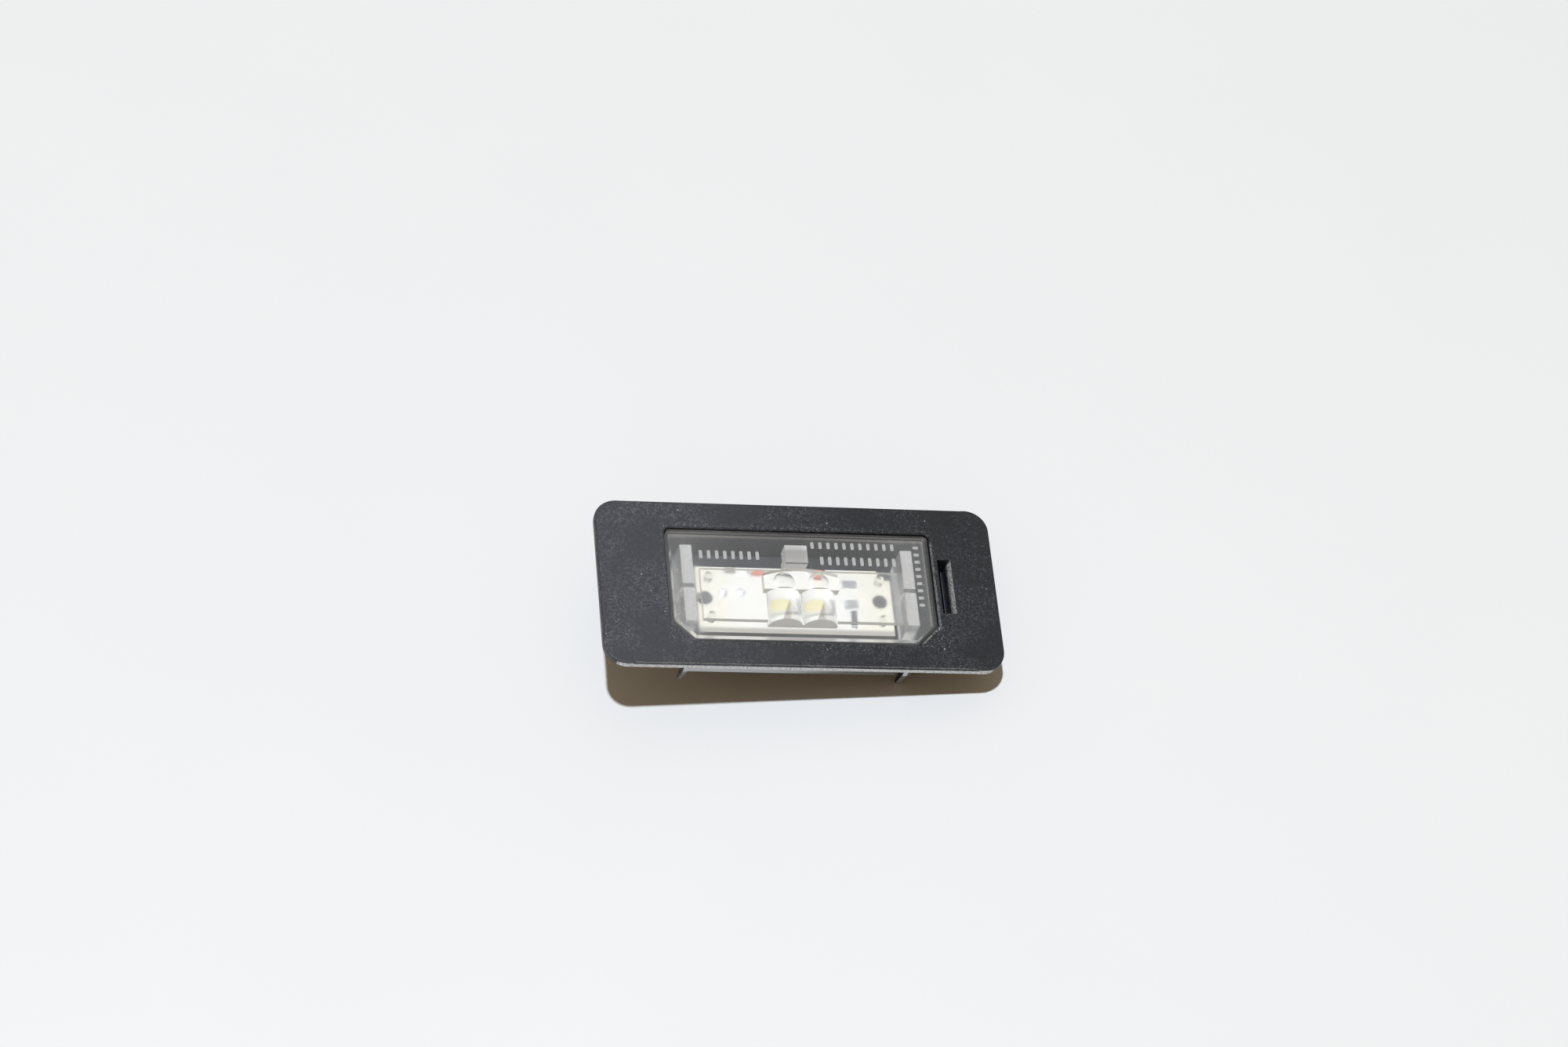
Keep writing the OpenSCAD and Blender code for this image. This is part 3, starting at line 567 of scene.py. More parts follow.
@dataclass(frozen=True)
class ClearCover:
    """Clear plastic, frosted on the skirt's outer wall and on the ends of the legs and the post.

    Attributes:
        low: Lowest corner of the cover.
        high: Highest corner of the cover.
        tint: Colour of the clear plastic.
        frost: Colour of the frosted skin at the legs.
        post_frost: Colour of the frosted skin at the post.
        index: Refractive index.
        rough: Roughness where it is polished and where it is frosted.
        haze: Share of the light that the haze takes in the middle and at the ends.
        haze_clouds: Share that its clouds take as well.
        frosted_through: Share of the light that passes where it is frosted.
        streaks: Streaks of roughness per metre along each axis.
        streak_rough: What a streak adds to the roughness.
        wave_cells: Cells per metre of the plate's low waves.
        wave_h: Height of those waves.
        matt: Shares of the frosted roughness on the bevel, on the underside and on the top.
        flat_facing: Z of the normal where a face begins to count as level and where it does.
        cut: Size of its two cut corners.
        skin: Depth of the frosted skin.
        bevel_z: Height at which the bevel starts.
        end_z: Height below which what faces down is frosted.
        hazy_x: Distances from the middle where haze begins and where it is dense.
        legs_x: Distances from the middle where the post's frost ends and where that of the legs begins.
        matt_x: Distances from the middle where the plate's underside gets matt and where it is.
        matt_z: Heights where that underside begins and where it is whole.
        dull_x: Distances from the middle where the plate's top gets dull and where it is.
        fine: Smallest height that tells the top from the bevel.
    """

    low: Point
    high: Point
    tint: Colour = (0.985, 0.99, 0.99)
    frost: Colour = (0.700, 0.675, 0.645)
    post_frost: Colour = (0.455, 0.445, 0.430)
    index: float = 1.49
    rough: Span = (0.03, 0.45)
    haze: Span = (0.004, 0.03)
    haze_clouds: float = 0.02
    frosted_through: float = 0.32
    streaks: Point = (1500.0, 1500.0, 220.0)
    streak_rough: float = 0.05
    wave_cells: float = 160.0
    wave_h: float = 0.01 * MM
    matt: Point = (0.6, 0.35, 0.5)
    flat_facing: Span = (0.5, 0.8)
    cut: float = 4.5 * MM
    skin: float = 0.4 * MM
    bevel_z: float = 0.93 * MM
    end_z: float = -1.0 * MM
    hazy_x: Span = (10 * MM, 29 * MM)
    legs_x: Span = (5 * MM, 20 * MM)
    matt_x: Span = (19 * MM, 24 * MM)
    matt_z: Span = (0.3 * MM, 0.1 * MM)
    dull_x: Span = (20 * MM, 23 * MM)
    fine: float = 0.01 * MM

    def material(self) -> bpy.types.Material:
        """Build the material.

        Returns:
            The material.
        """
        g = Graph("cover_plastic")
        away = g.maths("ABSOLUTE", g.axis(0))
        frost = g.maths("MAXIMUM", self.wall_mask(g), self.end_mask(g))
        haze = g.maths("ADD", g.between(*self.haze, g.step(away, *self.hazy_x)),
                       g.product(g.noise(90.0, 3.0), self.haze_clouds))
        through = g.product(g.maths("SUBTRACT", 1.0, haze), g.between(1.0, self.frosted_through, frost))
        streaks = g.product(g.noise(1.0, 3.0, g.stretch(self.streaks)), self.streak_rough)
        dull = g.maths("MAXIMUM", frost, self.matt_mask(g, away))
        waves = g.bump(g.noise(self.wave_cells, 1.0), self.wave_h, 0.4)
        frosted = g.blend(g.step(away, *self.legs_x), self.post_frost, self.frost)
        return g.clear_surface({"Base Color": g.blend(frost, self.tint, frosted), "IOR": self.index,
                                "Roughness": g.maths("ADD", g.between(*self.rough, dull), streaks),
                                "Transmission Weight": through, "Normal": waves})

    def matt_mask(self, g: Graph, away: Socket) -> Socket:
        """Mask of what is half matt: the bevel, and the plate's underside and top towards its ends.

        Args:
            g: Node tree to add to.
            away: Distance from the middle along X.

        Returns:
            The mask.
        """
        top_z = self.high[2] - 2 * self.fine
        above = g.step(g.axis(2), self.bevel_z, self.bevel_z + 3 * self.fine)
        bevel = g.product(above, g.step(g.axis(2), top_z, top_z - 3 * self.fine))
        under = g.product(g.step(away, *self.matt_x), g.step(g.axis(2), *self.matt_z))
        top = g.product(g.step(away, *self.dull_x), g.step(g.axis(2), top_z, top_z + self.fine))
        first, second, third = (g.product(*pair) for pair in zip((bevel, under, top), self.matt))
        return g.maths("MAXIMUM", g.maths("MAXIMUM", first, second), third)

    def wall_mask(self, g: Graph) -> Socket:
        """Mask of the skirt's outer wall: what lies within the skin of the border, under the bevel.

        With u the way beyond each end and v the way beyond the near side, a point is beyond the cut corner by
        the sum of u, v and the cut, times the root of a half.

        Args:
            g: Node tree to add to.

        Returns:
            The mask.
        """
        middle = [(low + high) / 2 for low, high in zip(self.low, self.high)]
        ends = g.maths("ABSOLUTE", g.maths("SUBTRACT", g.axis(0), middle[0]))
        near = g.product(g.maths("SUBTRACT", g.axis(1), middle[1]), -1.0)
        beyond = [g.maths("SUBTRACT", way, self.high[i] - middle[i]) for i, way in enumerate((ends, near))]
        corner = g.product(g.maths("ADD", g.maths("ADD", *beyond), self.cut), math.sqrt(0.5))
        far = g.maths("SUBTRACT", g.axis(1), self.high[1])
        reach = g.maths("MAXIMUM", g.maths("MAXIMUM", *beyond), g.maths("MAXIMUM", corner, far))
        skin = g.step(reach, -self.skin, -0.6 * self.skin)
        return g.product(skin, g.step(g.axis(2), self.bevel_z, self.bevel_z - 5 * self.fine))

    def end_mask(self, g: Graph) -> Socket:
        """Mask of the level faces at the ends of the legs, the post and the skirt."""
        flat = g.step(g.maths("ABSOLUTE", g.facing(2)), *self.flat_facing)
        return g.product(flat, g.step(g.axis(2), self.end_z, self.end_z - 10 * self.fine))


@dataclass(frozen=True)
class ClearOptic:
    """Clear plastic with polished lobes, a finely etched carrier bar and matt near faces; grey wedges of
    painted shade lie on the lobes, and the near faces are pale as painted light.

    Attributes:
        tint: Colour of the clear plastic.
        wedge_dark: Colour of the darker half of the wedge, painted shade that stands in for the dark of the
            housing gathered by a lobe.
        wedge_light: Colour of its brighter half, also painted shade.
        matt: Colour of the matt near faces, pale as painted light that stands in for light seen through the
            lobe.
        index: Refractive index.
        rough: Roughness of the etched bar, of the polished lobes and of the near faces.
        through: Share of light that passes where it is clear and at the near faces.
        near_facing: Y of the normal where a face begins to count as a near face and where it does.
        near_lean: How far the near faces lean up.
        polished_z: Height above which the skin is polished.
        lobes_left: Where the left lobe begins.
        lobe_pitch: Way from one lobe to the next.
        tip: Place of the wedge's tip, across its lobe and along Y.
        opening: How fast the wedge opens to the left and to the right of its tip.
        soft: Width over which the wedge fades.
    """

    tint: Colour = (0.98, 0.98, 0.97)
    wedge_dark: Colour = (0.28, 0.255, 0.23)
    wedge_light: Colour = (0.60, 0.59, 0.58)
    matt: Colour = (0.98, 0.96, 0.88)
    index: float = 1.49
    rough: Point = (0.30, 0.015, 0.4)
    through: Span = (0.98, 0.1)
    near_facing: Span = (-0.75, -0.92)
    near_lean: float = 1.3
    polished_z: float = -3.5 * MM
    lobes_left: float = -6.4 * MM
    lobe_pitch: float = 7.5 * MM
    tip: Place = (4.2 * MM, -2.1 * MM)
    opening: Span = (0.38, 0.64)
    soft: float = 0.5 * MM

    def material(self) -> bpy.types.Material:
        """Build the material.

        Returns:
            The material.
        """
        g = Graph("optic_plastic")
        polished = g.step(g.axis(2), self.polished_z, self.polished_z + 0.1 * MM)
        near = g.step(g.facing(1), *self.near_facing)
        # painted shade: grey wedges on the lobes stand in for the dark housing seen through them
        wedge, bright = self.wedges(g)
        wedge = g.product(wedge, polished, g.step(g.facing(2), 0.1, 0.5))
        body = g.blend(wedge, self.tint, g.blend(bright, self.wedge_dark, self.wedge_light))
        etched_rough, lobe_rough, near_rough = self.rough
        rough = g.maths("MAXIMUM", g.between(etched_rough, lobe_rough, polished), g.product(near, near_rough))
        # painted light: the near faces take a pale colour
        return g.clear_surface({"Base Color": g.blend(near, body, self.matt), "Roughness": rough,
                                "IOR": self.index, "Transmission Weight": g.between(*self.through, near),
                                "Normal": g.lean(g.geometry("True Normal"), g.product(near, self.near_lean))})

    def wedges(self, g: Graph) -> tuple[Socket, Socket]:
        """Mask of the painted grey wedge of shade that widens from the middle of each lobe towards its near
        edge.

        With u the place across a lobe, measured from the wedge's tip, and v the way from the tip to the near
        edge, the wedge lies where u is above minus v times the left opening and below v times the right one.

        Args:
            g: Node tree to add to.

        Returns:
            The mask, and a second one that is 1 in the brighter half of the wedge.
        """
        from_left = g.maths("SUBTRACT", g.axis(0), self.lobes_left)
        across = g.maths("SUBTRACT", g.maths("FLOORED_MODULO", from_left, self.lobe_pitch), self.tip[0])
        ahead = g.maths("SUBTRACT", self.tip[1], g.axis(1))
        left = g.step(g.maths("ADD", across, g.product(ahead, self.opening[0])), 0.0, self.soft)
        right = g.step(g.maths("SUBTRACT", across, g.product(ahead, self.opening[1])), 0.0, -self.soft)
        return g.product(left, right), g.step(across, -0.6 * self.soft, self.soft)


@dataclass(frozen=True)
class FrostedTick:
    """Finely blasted clear plastic of the raised ticks.

    Attributes:
        colour: Colour of the plastic.
        index: Refractive index.
        rough: Roughness.
        through: Share of the light that passes.
        grain_cells: Cells per metre of the blasted grain.
        grain_depth: Depth of that grain.
    """

    colour: Colour = (0.50, 0.50, 0.49)
    index: float = 1.49
    rough: float = 0.5
    through: float = 0.4
    grain_cells: float = 6000.0
    grain_depth: float = 0.01 * MM

    def material(self) -> bpy.types.Material:
        """Build the material.

        Returns:
            The material.
        """
        g = Graph("frosted_tick")
        grains = g.noise(self.grain_cells, 2.0)
        tint = g.blend(grains, self.colour, shade(self.colour, 0.9))
        return g.clear_surface({"Base Color": tint, "Roughness": self.rough, "IOR": self.index,
                                "Transmission Weight": self.through,
                                "Normal": g.bump(grains, self.grain_depth, 0.5)})


@dataclass(frozen=True)
class BoardMask:
    """White solder mask with a faint orange peel, creamier at the ends, and darker along the near edge as
    painted shade.

    Attributes:
        colour: Colour in the middle.
        cream: Colour at the ends.
        edge: Colour along the near edge, a painted shade.
        cream_x: Distances from the middle where the cream begins and where it is whole.
        cloud_cells: Cells per metre of the clouds.
        cloud_shift: How far clouds shift that border.
        peel_cells: Cells per metre of the orange peel.
        peel_depth: Depth of that peel.
        rough: Roughness.
        edge_y: Where the painted shade along the near edge begins and where it is whole.
    """

    colour: Colour = (0.950, 0.940, 0.900)
    cream: Colour = (0.945, 0.915, 0.790)
    edge: Colour = (0.500, 0.475, 0.430)
    cream_x: Span = (12 * MM, 21 * MM)
    cloud_cells: float = 250.0
    cloud_shift: float = 3 * MM
    peel_cells: float = 2500.0
    peel_depth: float = 0.01 * MM
    rough: float = 0.42
    edge_y: Span = (-6.0 * MM, -7.0 * MM)

    def material(self) -> bpy.types.Material:
        """Build the material.

        Returns:
            The material.
        """
        g = Graph("board_mask")
        away = g.maths("ABSOLUTE", g.axis(0))
        clouds = g.product(g.noise(self.cloud_cells), self.cloud_shift)
        ends = g.step(g.maths("ADD", away, clouds), *self.cream_x)
        tint = g.blend(ends, self.colour, self.cream)
        # painted shade along the board's near edge
        tint = g.blend(g.step(g.axis(1), *self.edge_y), tint, self.edge)
        peel = g.bump(g.noise(self.peel_cells, 2.0), self.peel_depth, 0.5)
        return g.surface({"Base Color": tint, "Roughness": self.rough, "Normal": peel})


@dataclass(frozen=True)
class Plain:
    """Small part with one body colour, clouded a little, and a fine surface.

    Attributes:
        name: Name of the material.
        colour: Body colour.
        second: Colour of the clouds.
        rough: Roughness.
        metal: Metallic share.
        cells: Cells per metre of the clouds.
        relief: Height of the fine surface.
        spread: What the clouds change of the roughness.
        edge_r: Radius of sharp edges.
    """

    name: str
    colour: Colour
    second: Colour
    rough: float
    metal: float = 0.0
    cells: float = 900.0
    relief: float = 0.01 * MM
    spread: float = 0.12
    edge_r: float = 0.05 * MM

    def material(self) -> bpy.types.Material:
        """Build the material.

        Returns:
            The material.
        """
        g = Graph(self.name)
        clouds = g.noise(self.cells, 3.0)
        tint = g.blend(clouds, self.colour, self.second)
        rough = g.maths("ADD", g.product(clouds, self.spread), self.rough - self.spread / 2)
        fine = g.bump(g.noise(self.cells * 3, 2.0), self.relief, 0.6, g.soft_edges(self.edge_r))
        return g.surface({"Base Color": tint, "Roughness": rough, "Metallic": self.metal, "Normal": fine})


@dataclass(frozen=True)
class ChipFinish:
    """Body of a chip component between two tinned ends.

    Attributes:
        name: Name of the material.
        body: Colour of the body.
        middle: Centre of the chip along its length.
        reach: Distance from the centre to the inner edge of each end.
        along: Axis that the chip lies along.
        tin: Colour of the ends.
        bright_tin: Colour of the ends where clouds brighten them.
        rough: Roughness of the body and of the ends.
        cells: Cells per metre of the clouds.
        relief: Height of the fine surface.
        edge_r: Radius of sharp edges.
        soft: Half the width over which an end begins.
    """

    name: str
    body: Colour
    middle: float
    reach: float
    along: Along
    tin: Colour = (0.62, 0.62, 0.63)
    bright_tin: Colour = (0.72, 0.72, 0.72)
    rough: Span = (0.42, 0.3)
    cells: float = 2400.0
    relief: float = 0.015 * MM
    edge_r: float = 0.06 * MM
    soft: float = 0.01 * MM

    def material(self) -> bpy.types.Material:
        """Build the material.

        Returns:
            The material.
        """
        g = Graph(self.name)
        far = g.maths("ABSOLUTE", g.maths("SUBTRACT", g.axis(self.along.value), self.middle))
        ends = g.step(far, self.reach - self.soft, self.reach + self.soft)
        clouds = g.noise(self.cells, 3.0)
        body = g.blend(clouds, self.body, shade(self.body, 1.25))
        tint = g.blend(ends, body, g.blend(clouds, self.tin, self.bright_tin))
        fine = g.bump(clouds, self.relief, 0.5, g.soft_edges(self.edge_r))
        return g.surface({"Base Color": tint, "Roughness": g.between(*self.rough, ends), "Metallic": ends,
                          "Normal": fine})


@dataclass(frozen=True)
class SpringSteel:
    """Oiled spring steel, dark blue from hardening: fine lines along the strip and clouds of heat tint.

    Attributes:
        colour: Colour of the steel.
        warm: Colour of the heat tint.
        warm_cells: Cells per metre of the clouds of heat tint.
        warm_at: Values of their noise where the heat tint begins and where it is whole.
        lines: Lines per metre along each axis.
        line_depth: Depth of a line.
        rough: Roughness beside the lines.
        line_rough: What a line adds to it.
        edge_r: Radius of sharp edges.
    """

    colour: Colour = (0.070, 0.074, 0.084)
    warm: Colour = (0.092, 0.088, 0.084)
    warm_cells: float = 240.0
    warm_at: Span = (0.42, 0.68)
    lines: Point = (500.0, 14000.0, 500.0)
    line_depth: float = 0.002 * MM
    rough: float = 0.42
    line_rough: float = 0.12
    edge_r: float = 0.06 * MM

    def material(self) -> bpy.types.Material:
        """Build the material.

        Returns:
            The material.
        """
        g = Graph("oiled_spring")
        lines = g.noise(1.0, 3.0, g.stretch(self.lines))
        heat = g.step(g.noise(self.warm_cells, 3.0), *self.warm_at)
        tint = g.blend(heat, self.colour, self.warm)
        rough = g.maths("ADD", g.product(lines, self.line_rough), self.rough)
        fine = g.bump(lines, self.line_depth, 0.5, g.soft_edges(self.edge_r))
        return g.surface({"Base Color": tint, "Roughness": rough, "Metallic": 1.0, "Normal": fine})


def dress(node: str, material: bpy.types.Material) -> None:
    """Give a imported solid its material, on every slot it has.

    Args:
        node: Name of the solid.
        material: Material to show.
    """
    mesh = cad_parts[node].data
    if not mesh.materials:
        mesh.materials.append(material)
    for index in range(len(mesh.materials)):
        mesh.materials[index] = material
    LOG.info("dressed %s with %s", node, material.name)


def show(thing: bpy.types.Object) -> None:
    """Put an object into the scene."""
    bpy.context.scene.collection.objects.link(thing)


@dataclass
class Studio:
    """Camera, light and table.

    Attributes:
        camera_at: Place of the camera.
        right: Direction of the picture's right side.
        up: Direction of the picture's top.
        lens: Focal length in millimetres.
        sensor: Width of the sensor in millimetres.
        view_end: Distance from the camera past which nothing is shown.
        rest_low: Two points of the lamp's underside that touch the table, as X and Z.
        key_from: Direction from the lamp to the key light.
        key_distance: Distance of the key light.
        key_size: Diameter of the key light.
        key_power: Power of the key light.
        key_colour: Colour of the key light, slightly cool.
        fill: Colour of the room that fills the shadows.
        pale: Colour of the room where it is seen or mirrored.
        table_radius: Radius of the table.
        table_points: Number of points around it.
        table_rough: Roughness of the table.
        smudge_cells: Cells per metre of the clouds on it.
        table: Colour of the table.
        smudged: Colour of the table where clouds brighten it.
    """

    camera_at: Vector = Vector((-0.18330, -0.38944, 0.67519))
    right: Vector = Vector((0.97397, -0.08981, 0.20813))
    up: Vector = Vector((-0.02935, 0.86047, 0.50865))
    lens: float = 87.2
    sensor: float = 36.0
    view_end: float = 20.0
    rest_low: tuple[Place, Place] = ((-5.8 * MM, -17.0 * MM), (35.5 * MM, -10.8 * MM))
    key_from: Vector = Vector((-0.2297, -0.0941, 0.9687))
    key_distance: float = 3.0
    key_size: float = 0.10
    key_power: float = 84.0
    key_colour: Colour = (0.882, 0.937, 1.0)
    fill: Colour = (0.240, 0.180, 0.108)
    pale: Colour = (0.85, 0.86, 0.875)
    table_radius: float = 3.0
    table_points: int = 96
    table_rough: float = 0.45
    smudge_cells: float = 18.0
    table: Colour = (0.800, 0.812, 0.828)
    smudged: Colour = (0.822, 0.832, 0.845)

    def build(self) -> None:
        """Make the camera, the table, the key light and the room."""
        self.make_camera()
        self.make_table()
        self.make_key()
        self.make_room()
        LOG.info("built the table and its light")

    def make_camera(self) -> None:
        """Camera at the viewing angle of the photograph, without depth of field."""
        data = bpy.data.cameras.new("camera")
        data.lens = self.lens
        data.sensor_width = self.sensor
        data.clip_end = self.view_end
        camera = bpy.data.objects.new("camera", data)
        back = self.right.cross(self.up)
        turn = Matrix((self.right, self.up, back)).transposed().to_4x4()
        camera.matrix_world = Matrix.Translation(self.camera_at) @ turn
        show(camera)
        bpy.context.scene.camera = camera

    def make_table(self) -> None:
        """White table as a disc, tilted so that the lamp rests on its socket and its catch chamber."""
        (x0, z0), (x1, z1) = self.rest_low
        slope = (z1 - z0) / (x1 - x0)
        ring = np.linspace(0, 2 * math.pi, self.table_points, endpoint=False)
        x = self.table_radius * np.cos(ring)
        y = self.table_radius * np.sin(ring)
        points = np.stack([x, y, z0 + slope * (x - x0)], 1)
        mesh = bpy.data.meshes.new("table")
        mesh.from_pydata(points.tolist(), [], [list(range(len(points)))])
        table = bpy.data.objects.new("table", mesh)
        show(table)
        g = Graph("white_table")
        tint = g.blend(g.noise(self.smudge_cells, 4.0), self.table, self.smudged)
        shader = {"Base Color": tint, "Roughness": self.table_rough}
        white = g.see_through(g.geometry("Backfacing"), shader)
        mesh.materials.append(white)

    def make_key(self) -> None:
        """Key light high above, a small disc."""
        data = bpy.data.lights.new("key", "AREA")
        data.shape = "DISK"
        data.size = self.key_size
        data.energy = self.key_power
        data.color = self.key_colour
        key = bpy.data.objects.new("key", data)
        key.location = self.key_from * self.key_distance
        key.rotation_mode = "QUATERNION"
        key.rotation_quaternion = self.key_from.to_track_quat("Z", "Y")
        show(key)

    def make_room(self) -> None:
        """World that is dim and warm where it fills shadows, and pale where it is seen or mirrored."""
        world = bpy.data.worlds.new("room")
        world.use_nodes = True
        world.cycles.sampling_method = "NONE"
        room = Tree(world.node_tree)
        path = room.node("ShaderNodeLightPath", {}).outputs
        seen = room.maths("MAXIMUM", path["Is Camera Ray"], path["Is Glossy Ray"])
        direct = room.maths("LESS_THAN", path["Diffuse Depth"], 0.5)
        fill = room.node("ShaderNodeBackground", {"Color": self.fill}).outputs[0]
        pale = room.node("ShaderNodeBackground", {"Color": self.pale}).outputs[0]
        mixed = room.node("ShaderNodeMixShader", {0: room.product(seen, direct), 1: fill, 2: pale})
        room.node("ShaderNodeOutputWorld", {"Surface": mixed.outputs[0]})
        bpy.context.scene.world = world


def closed_skin(rings: np.ndarray) -> tuple[np.ndarray, list[list[int]]]:
    """Closed skin over a stack of rings.

    Face (i, j) joins points j and j + 1 of ring i to the same points of ring i + 1, and the first and last
    rings are filled. The volume is a sixth of the sum of a . (b x c) over all triangles, and if it is
    negative every face is turned round, so that the skin looks outwards.

    Args:
        rings: Points as an array of rings, points around a ring, and X, Y, Z.

    Returns:
        The points as rows, and the corners of each face.
    """
    count, around = rings.shape[:2]
    index = np.arange(count * around).reshape(count, around)
    ahead = np.roll(index, -1, axis=1)
    quads = np.stack([index[:-1], ahead[:-1], ahead[1:], index[1:]], -1).reshape(-1, 4)
    points = rings.reshape(-1, 3)
    a, b, c, d = (points[quads[:, k]] for k in range(4))
    volume = np.sum(a * np.cross(b, c)) + np.sum(a * np.cross(c, d))
    for ring, way in ((rings[0], -1), (rings[-1], 1)):
        volume += way * np.sum(ring.mean(axis=0) * np.cross(ring, np.roll(ring, -1, axis=0)))
    faces = quads.tolist() + [index[0][::-1].tolist(), index[-1].tolist()]
    return points, [face[::-1] for face in faces] if volume < 0 else faces


def carried(profile: np.ndarray, path: np.ndarray, swell: np.ndarray) -> np.ndarray:
    """Profile carried along a level path.

    Ring i is the path's point i, plus the profile's first coordinate times the level normal of the path
    there, plus its second coordinate upwards, both times the swell at i.

    Args:
        profile: Closed outline as rows of sideways and upward places.
        path: Points of the path, as rows of X, Y, Z.
        swell: Share of the profile's size at each point of the path.

    Returns:
        The rings.
    """
    along = np.gradient(path[:, :2], axis=0)
    along /= np.linalg.norm(along, axis=1, keepdims=True)
    side = np.stack([-along[:, 1], along[:, 0], np.zeros(len(path))], -1)
    flat = side[:, None, :] * profile[None, :, :1]
    high = np.array([0.0, 0.0, 1.0]) * profile[None, :, 1:]
    return path[:, None, :] + swell[:, None, None] * (flat + high)


def softened(corners: np.ndarray, passes: int = 3) -> np.ndarray:
    """Path with its corners cut again and again, at a quarter and at three quarters of each stretch.

    Args:
        corners: Points of the path as rows.
        passes: How often its corners are cut.

    Returns:
        Points of the softened path, with the same two ends.
    """
    path = corners
    for _ in range(passes):
        quarter = 0.75 * path[:-1] + 0.25 * path[1:]
        three = 0.25 * path[:-1] + 0.75 * path[1:]
        inner = np.stack([quarter, three], 1).reshape(-1, path.shape[1])
        path = np.concatenate([path[:1], inner, path[-1:]])
    return path


def turned(radii: np.ndarray, heights: np.ndarray, centre: Place, around: int = 40) -> np.ndarray:
    """Rings of a turned form: ring i is a circle of radius i at height i about the centre.

    Args:
        radii: Radius of each ring.
        heights: Height of each ring.
        centre: Centre of the rings, as X and Y.
        around: Number of points around a ring.

    Returns:
        The rings.
    """
    angle = np.linspace(0, 2 * math.pi, around, endpoint=False)
    x = centre[0] + radii[:, None] * np.cos(angle)
    y = centre[1] + radii[:, None] * np.sin(angle)
    return np.stack([x, y, np.broadcast_to(heights[:, None], x.shape)], -1)


def add_piece(name: str, skins: list[np.ndarray], body: Body,
              material: bpy.types.Material) -> None:
    """Make one piece from stacks of rings and let it ride on a body.

    Args:
        name: Name of the piece.
        skins: Stacks of rings, each of them one closed skin.
        body: Body that the piece moves with.
        material: Its material.
    """
    points, faces, start = [], [], 0
    for rings in skins:
        skin_points, skin_faces = closed_skin(rings)
        faces += [[start + corner for corner in face] for face in skin_faces]
        points.append(skin_points)
        start += len(skin_points)
    mesh = bpy.data.meshes.new(name)
    mesh.from_pydata(np.concatenate(points).tolist(), [], faces)
    mesh.shade_smooth()
    mesh.set_sharp_from_angle(angle=math.radians(SHARP_DEG))
    mesh.materials.append(material)
    piece = bpy.data.objects.new(name, mesh)
    show(piece)
    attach(piece, body.value)
    LOG.info("built %s from %d skins, %d points", name, len(skins), start)


@dataclass(frozen=True)
class TickRow:
    """Row of equal ticks.

    Attributes:
        first: Centre of the first tick.
        step: Way from one tick to the next.
        count: Number of ticks.
        size: Length along X and along Y of a tick.
    """

    first: Place
    step: Place
    count: int
    size: Place


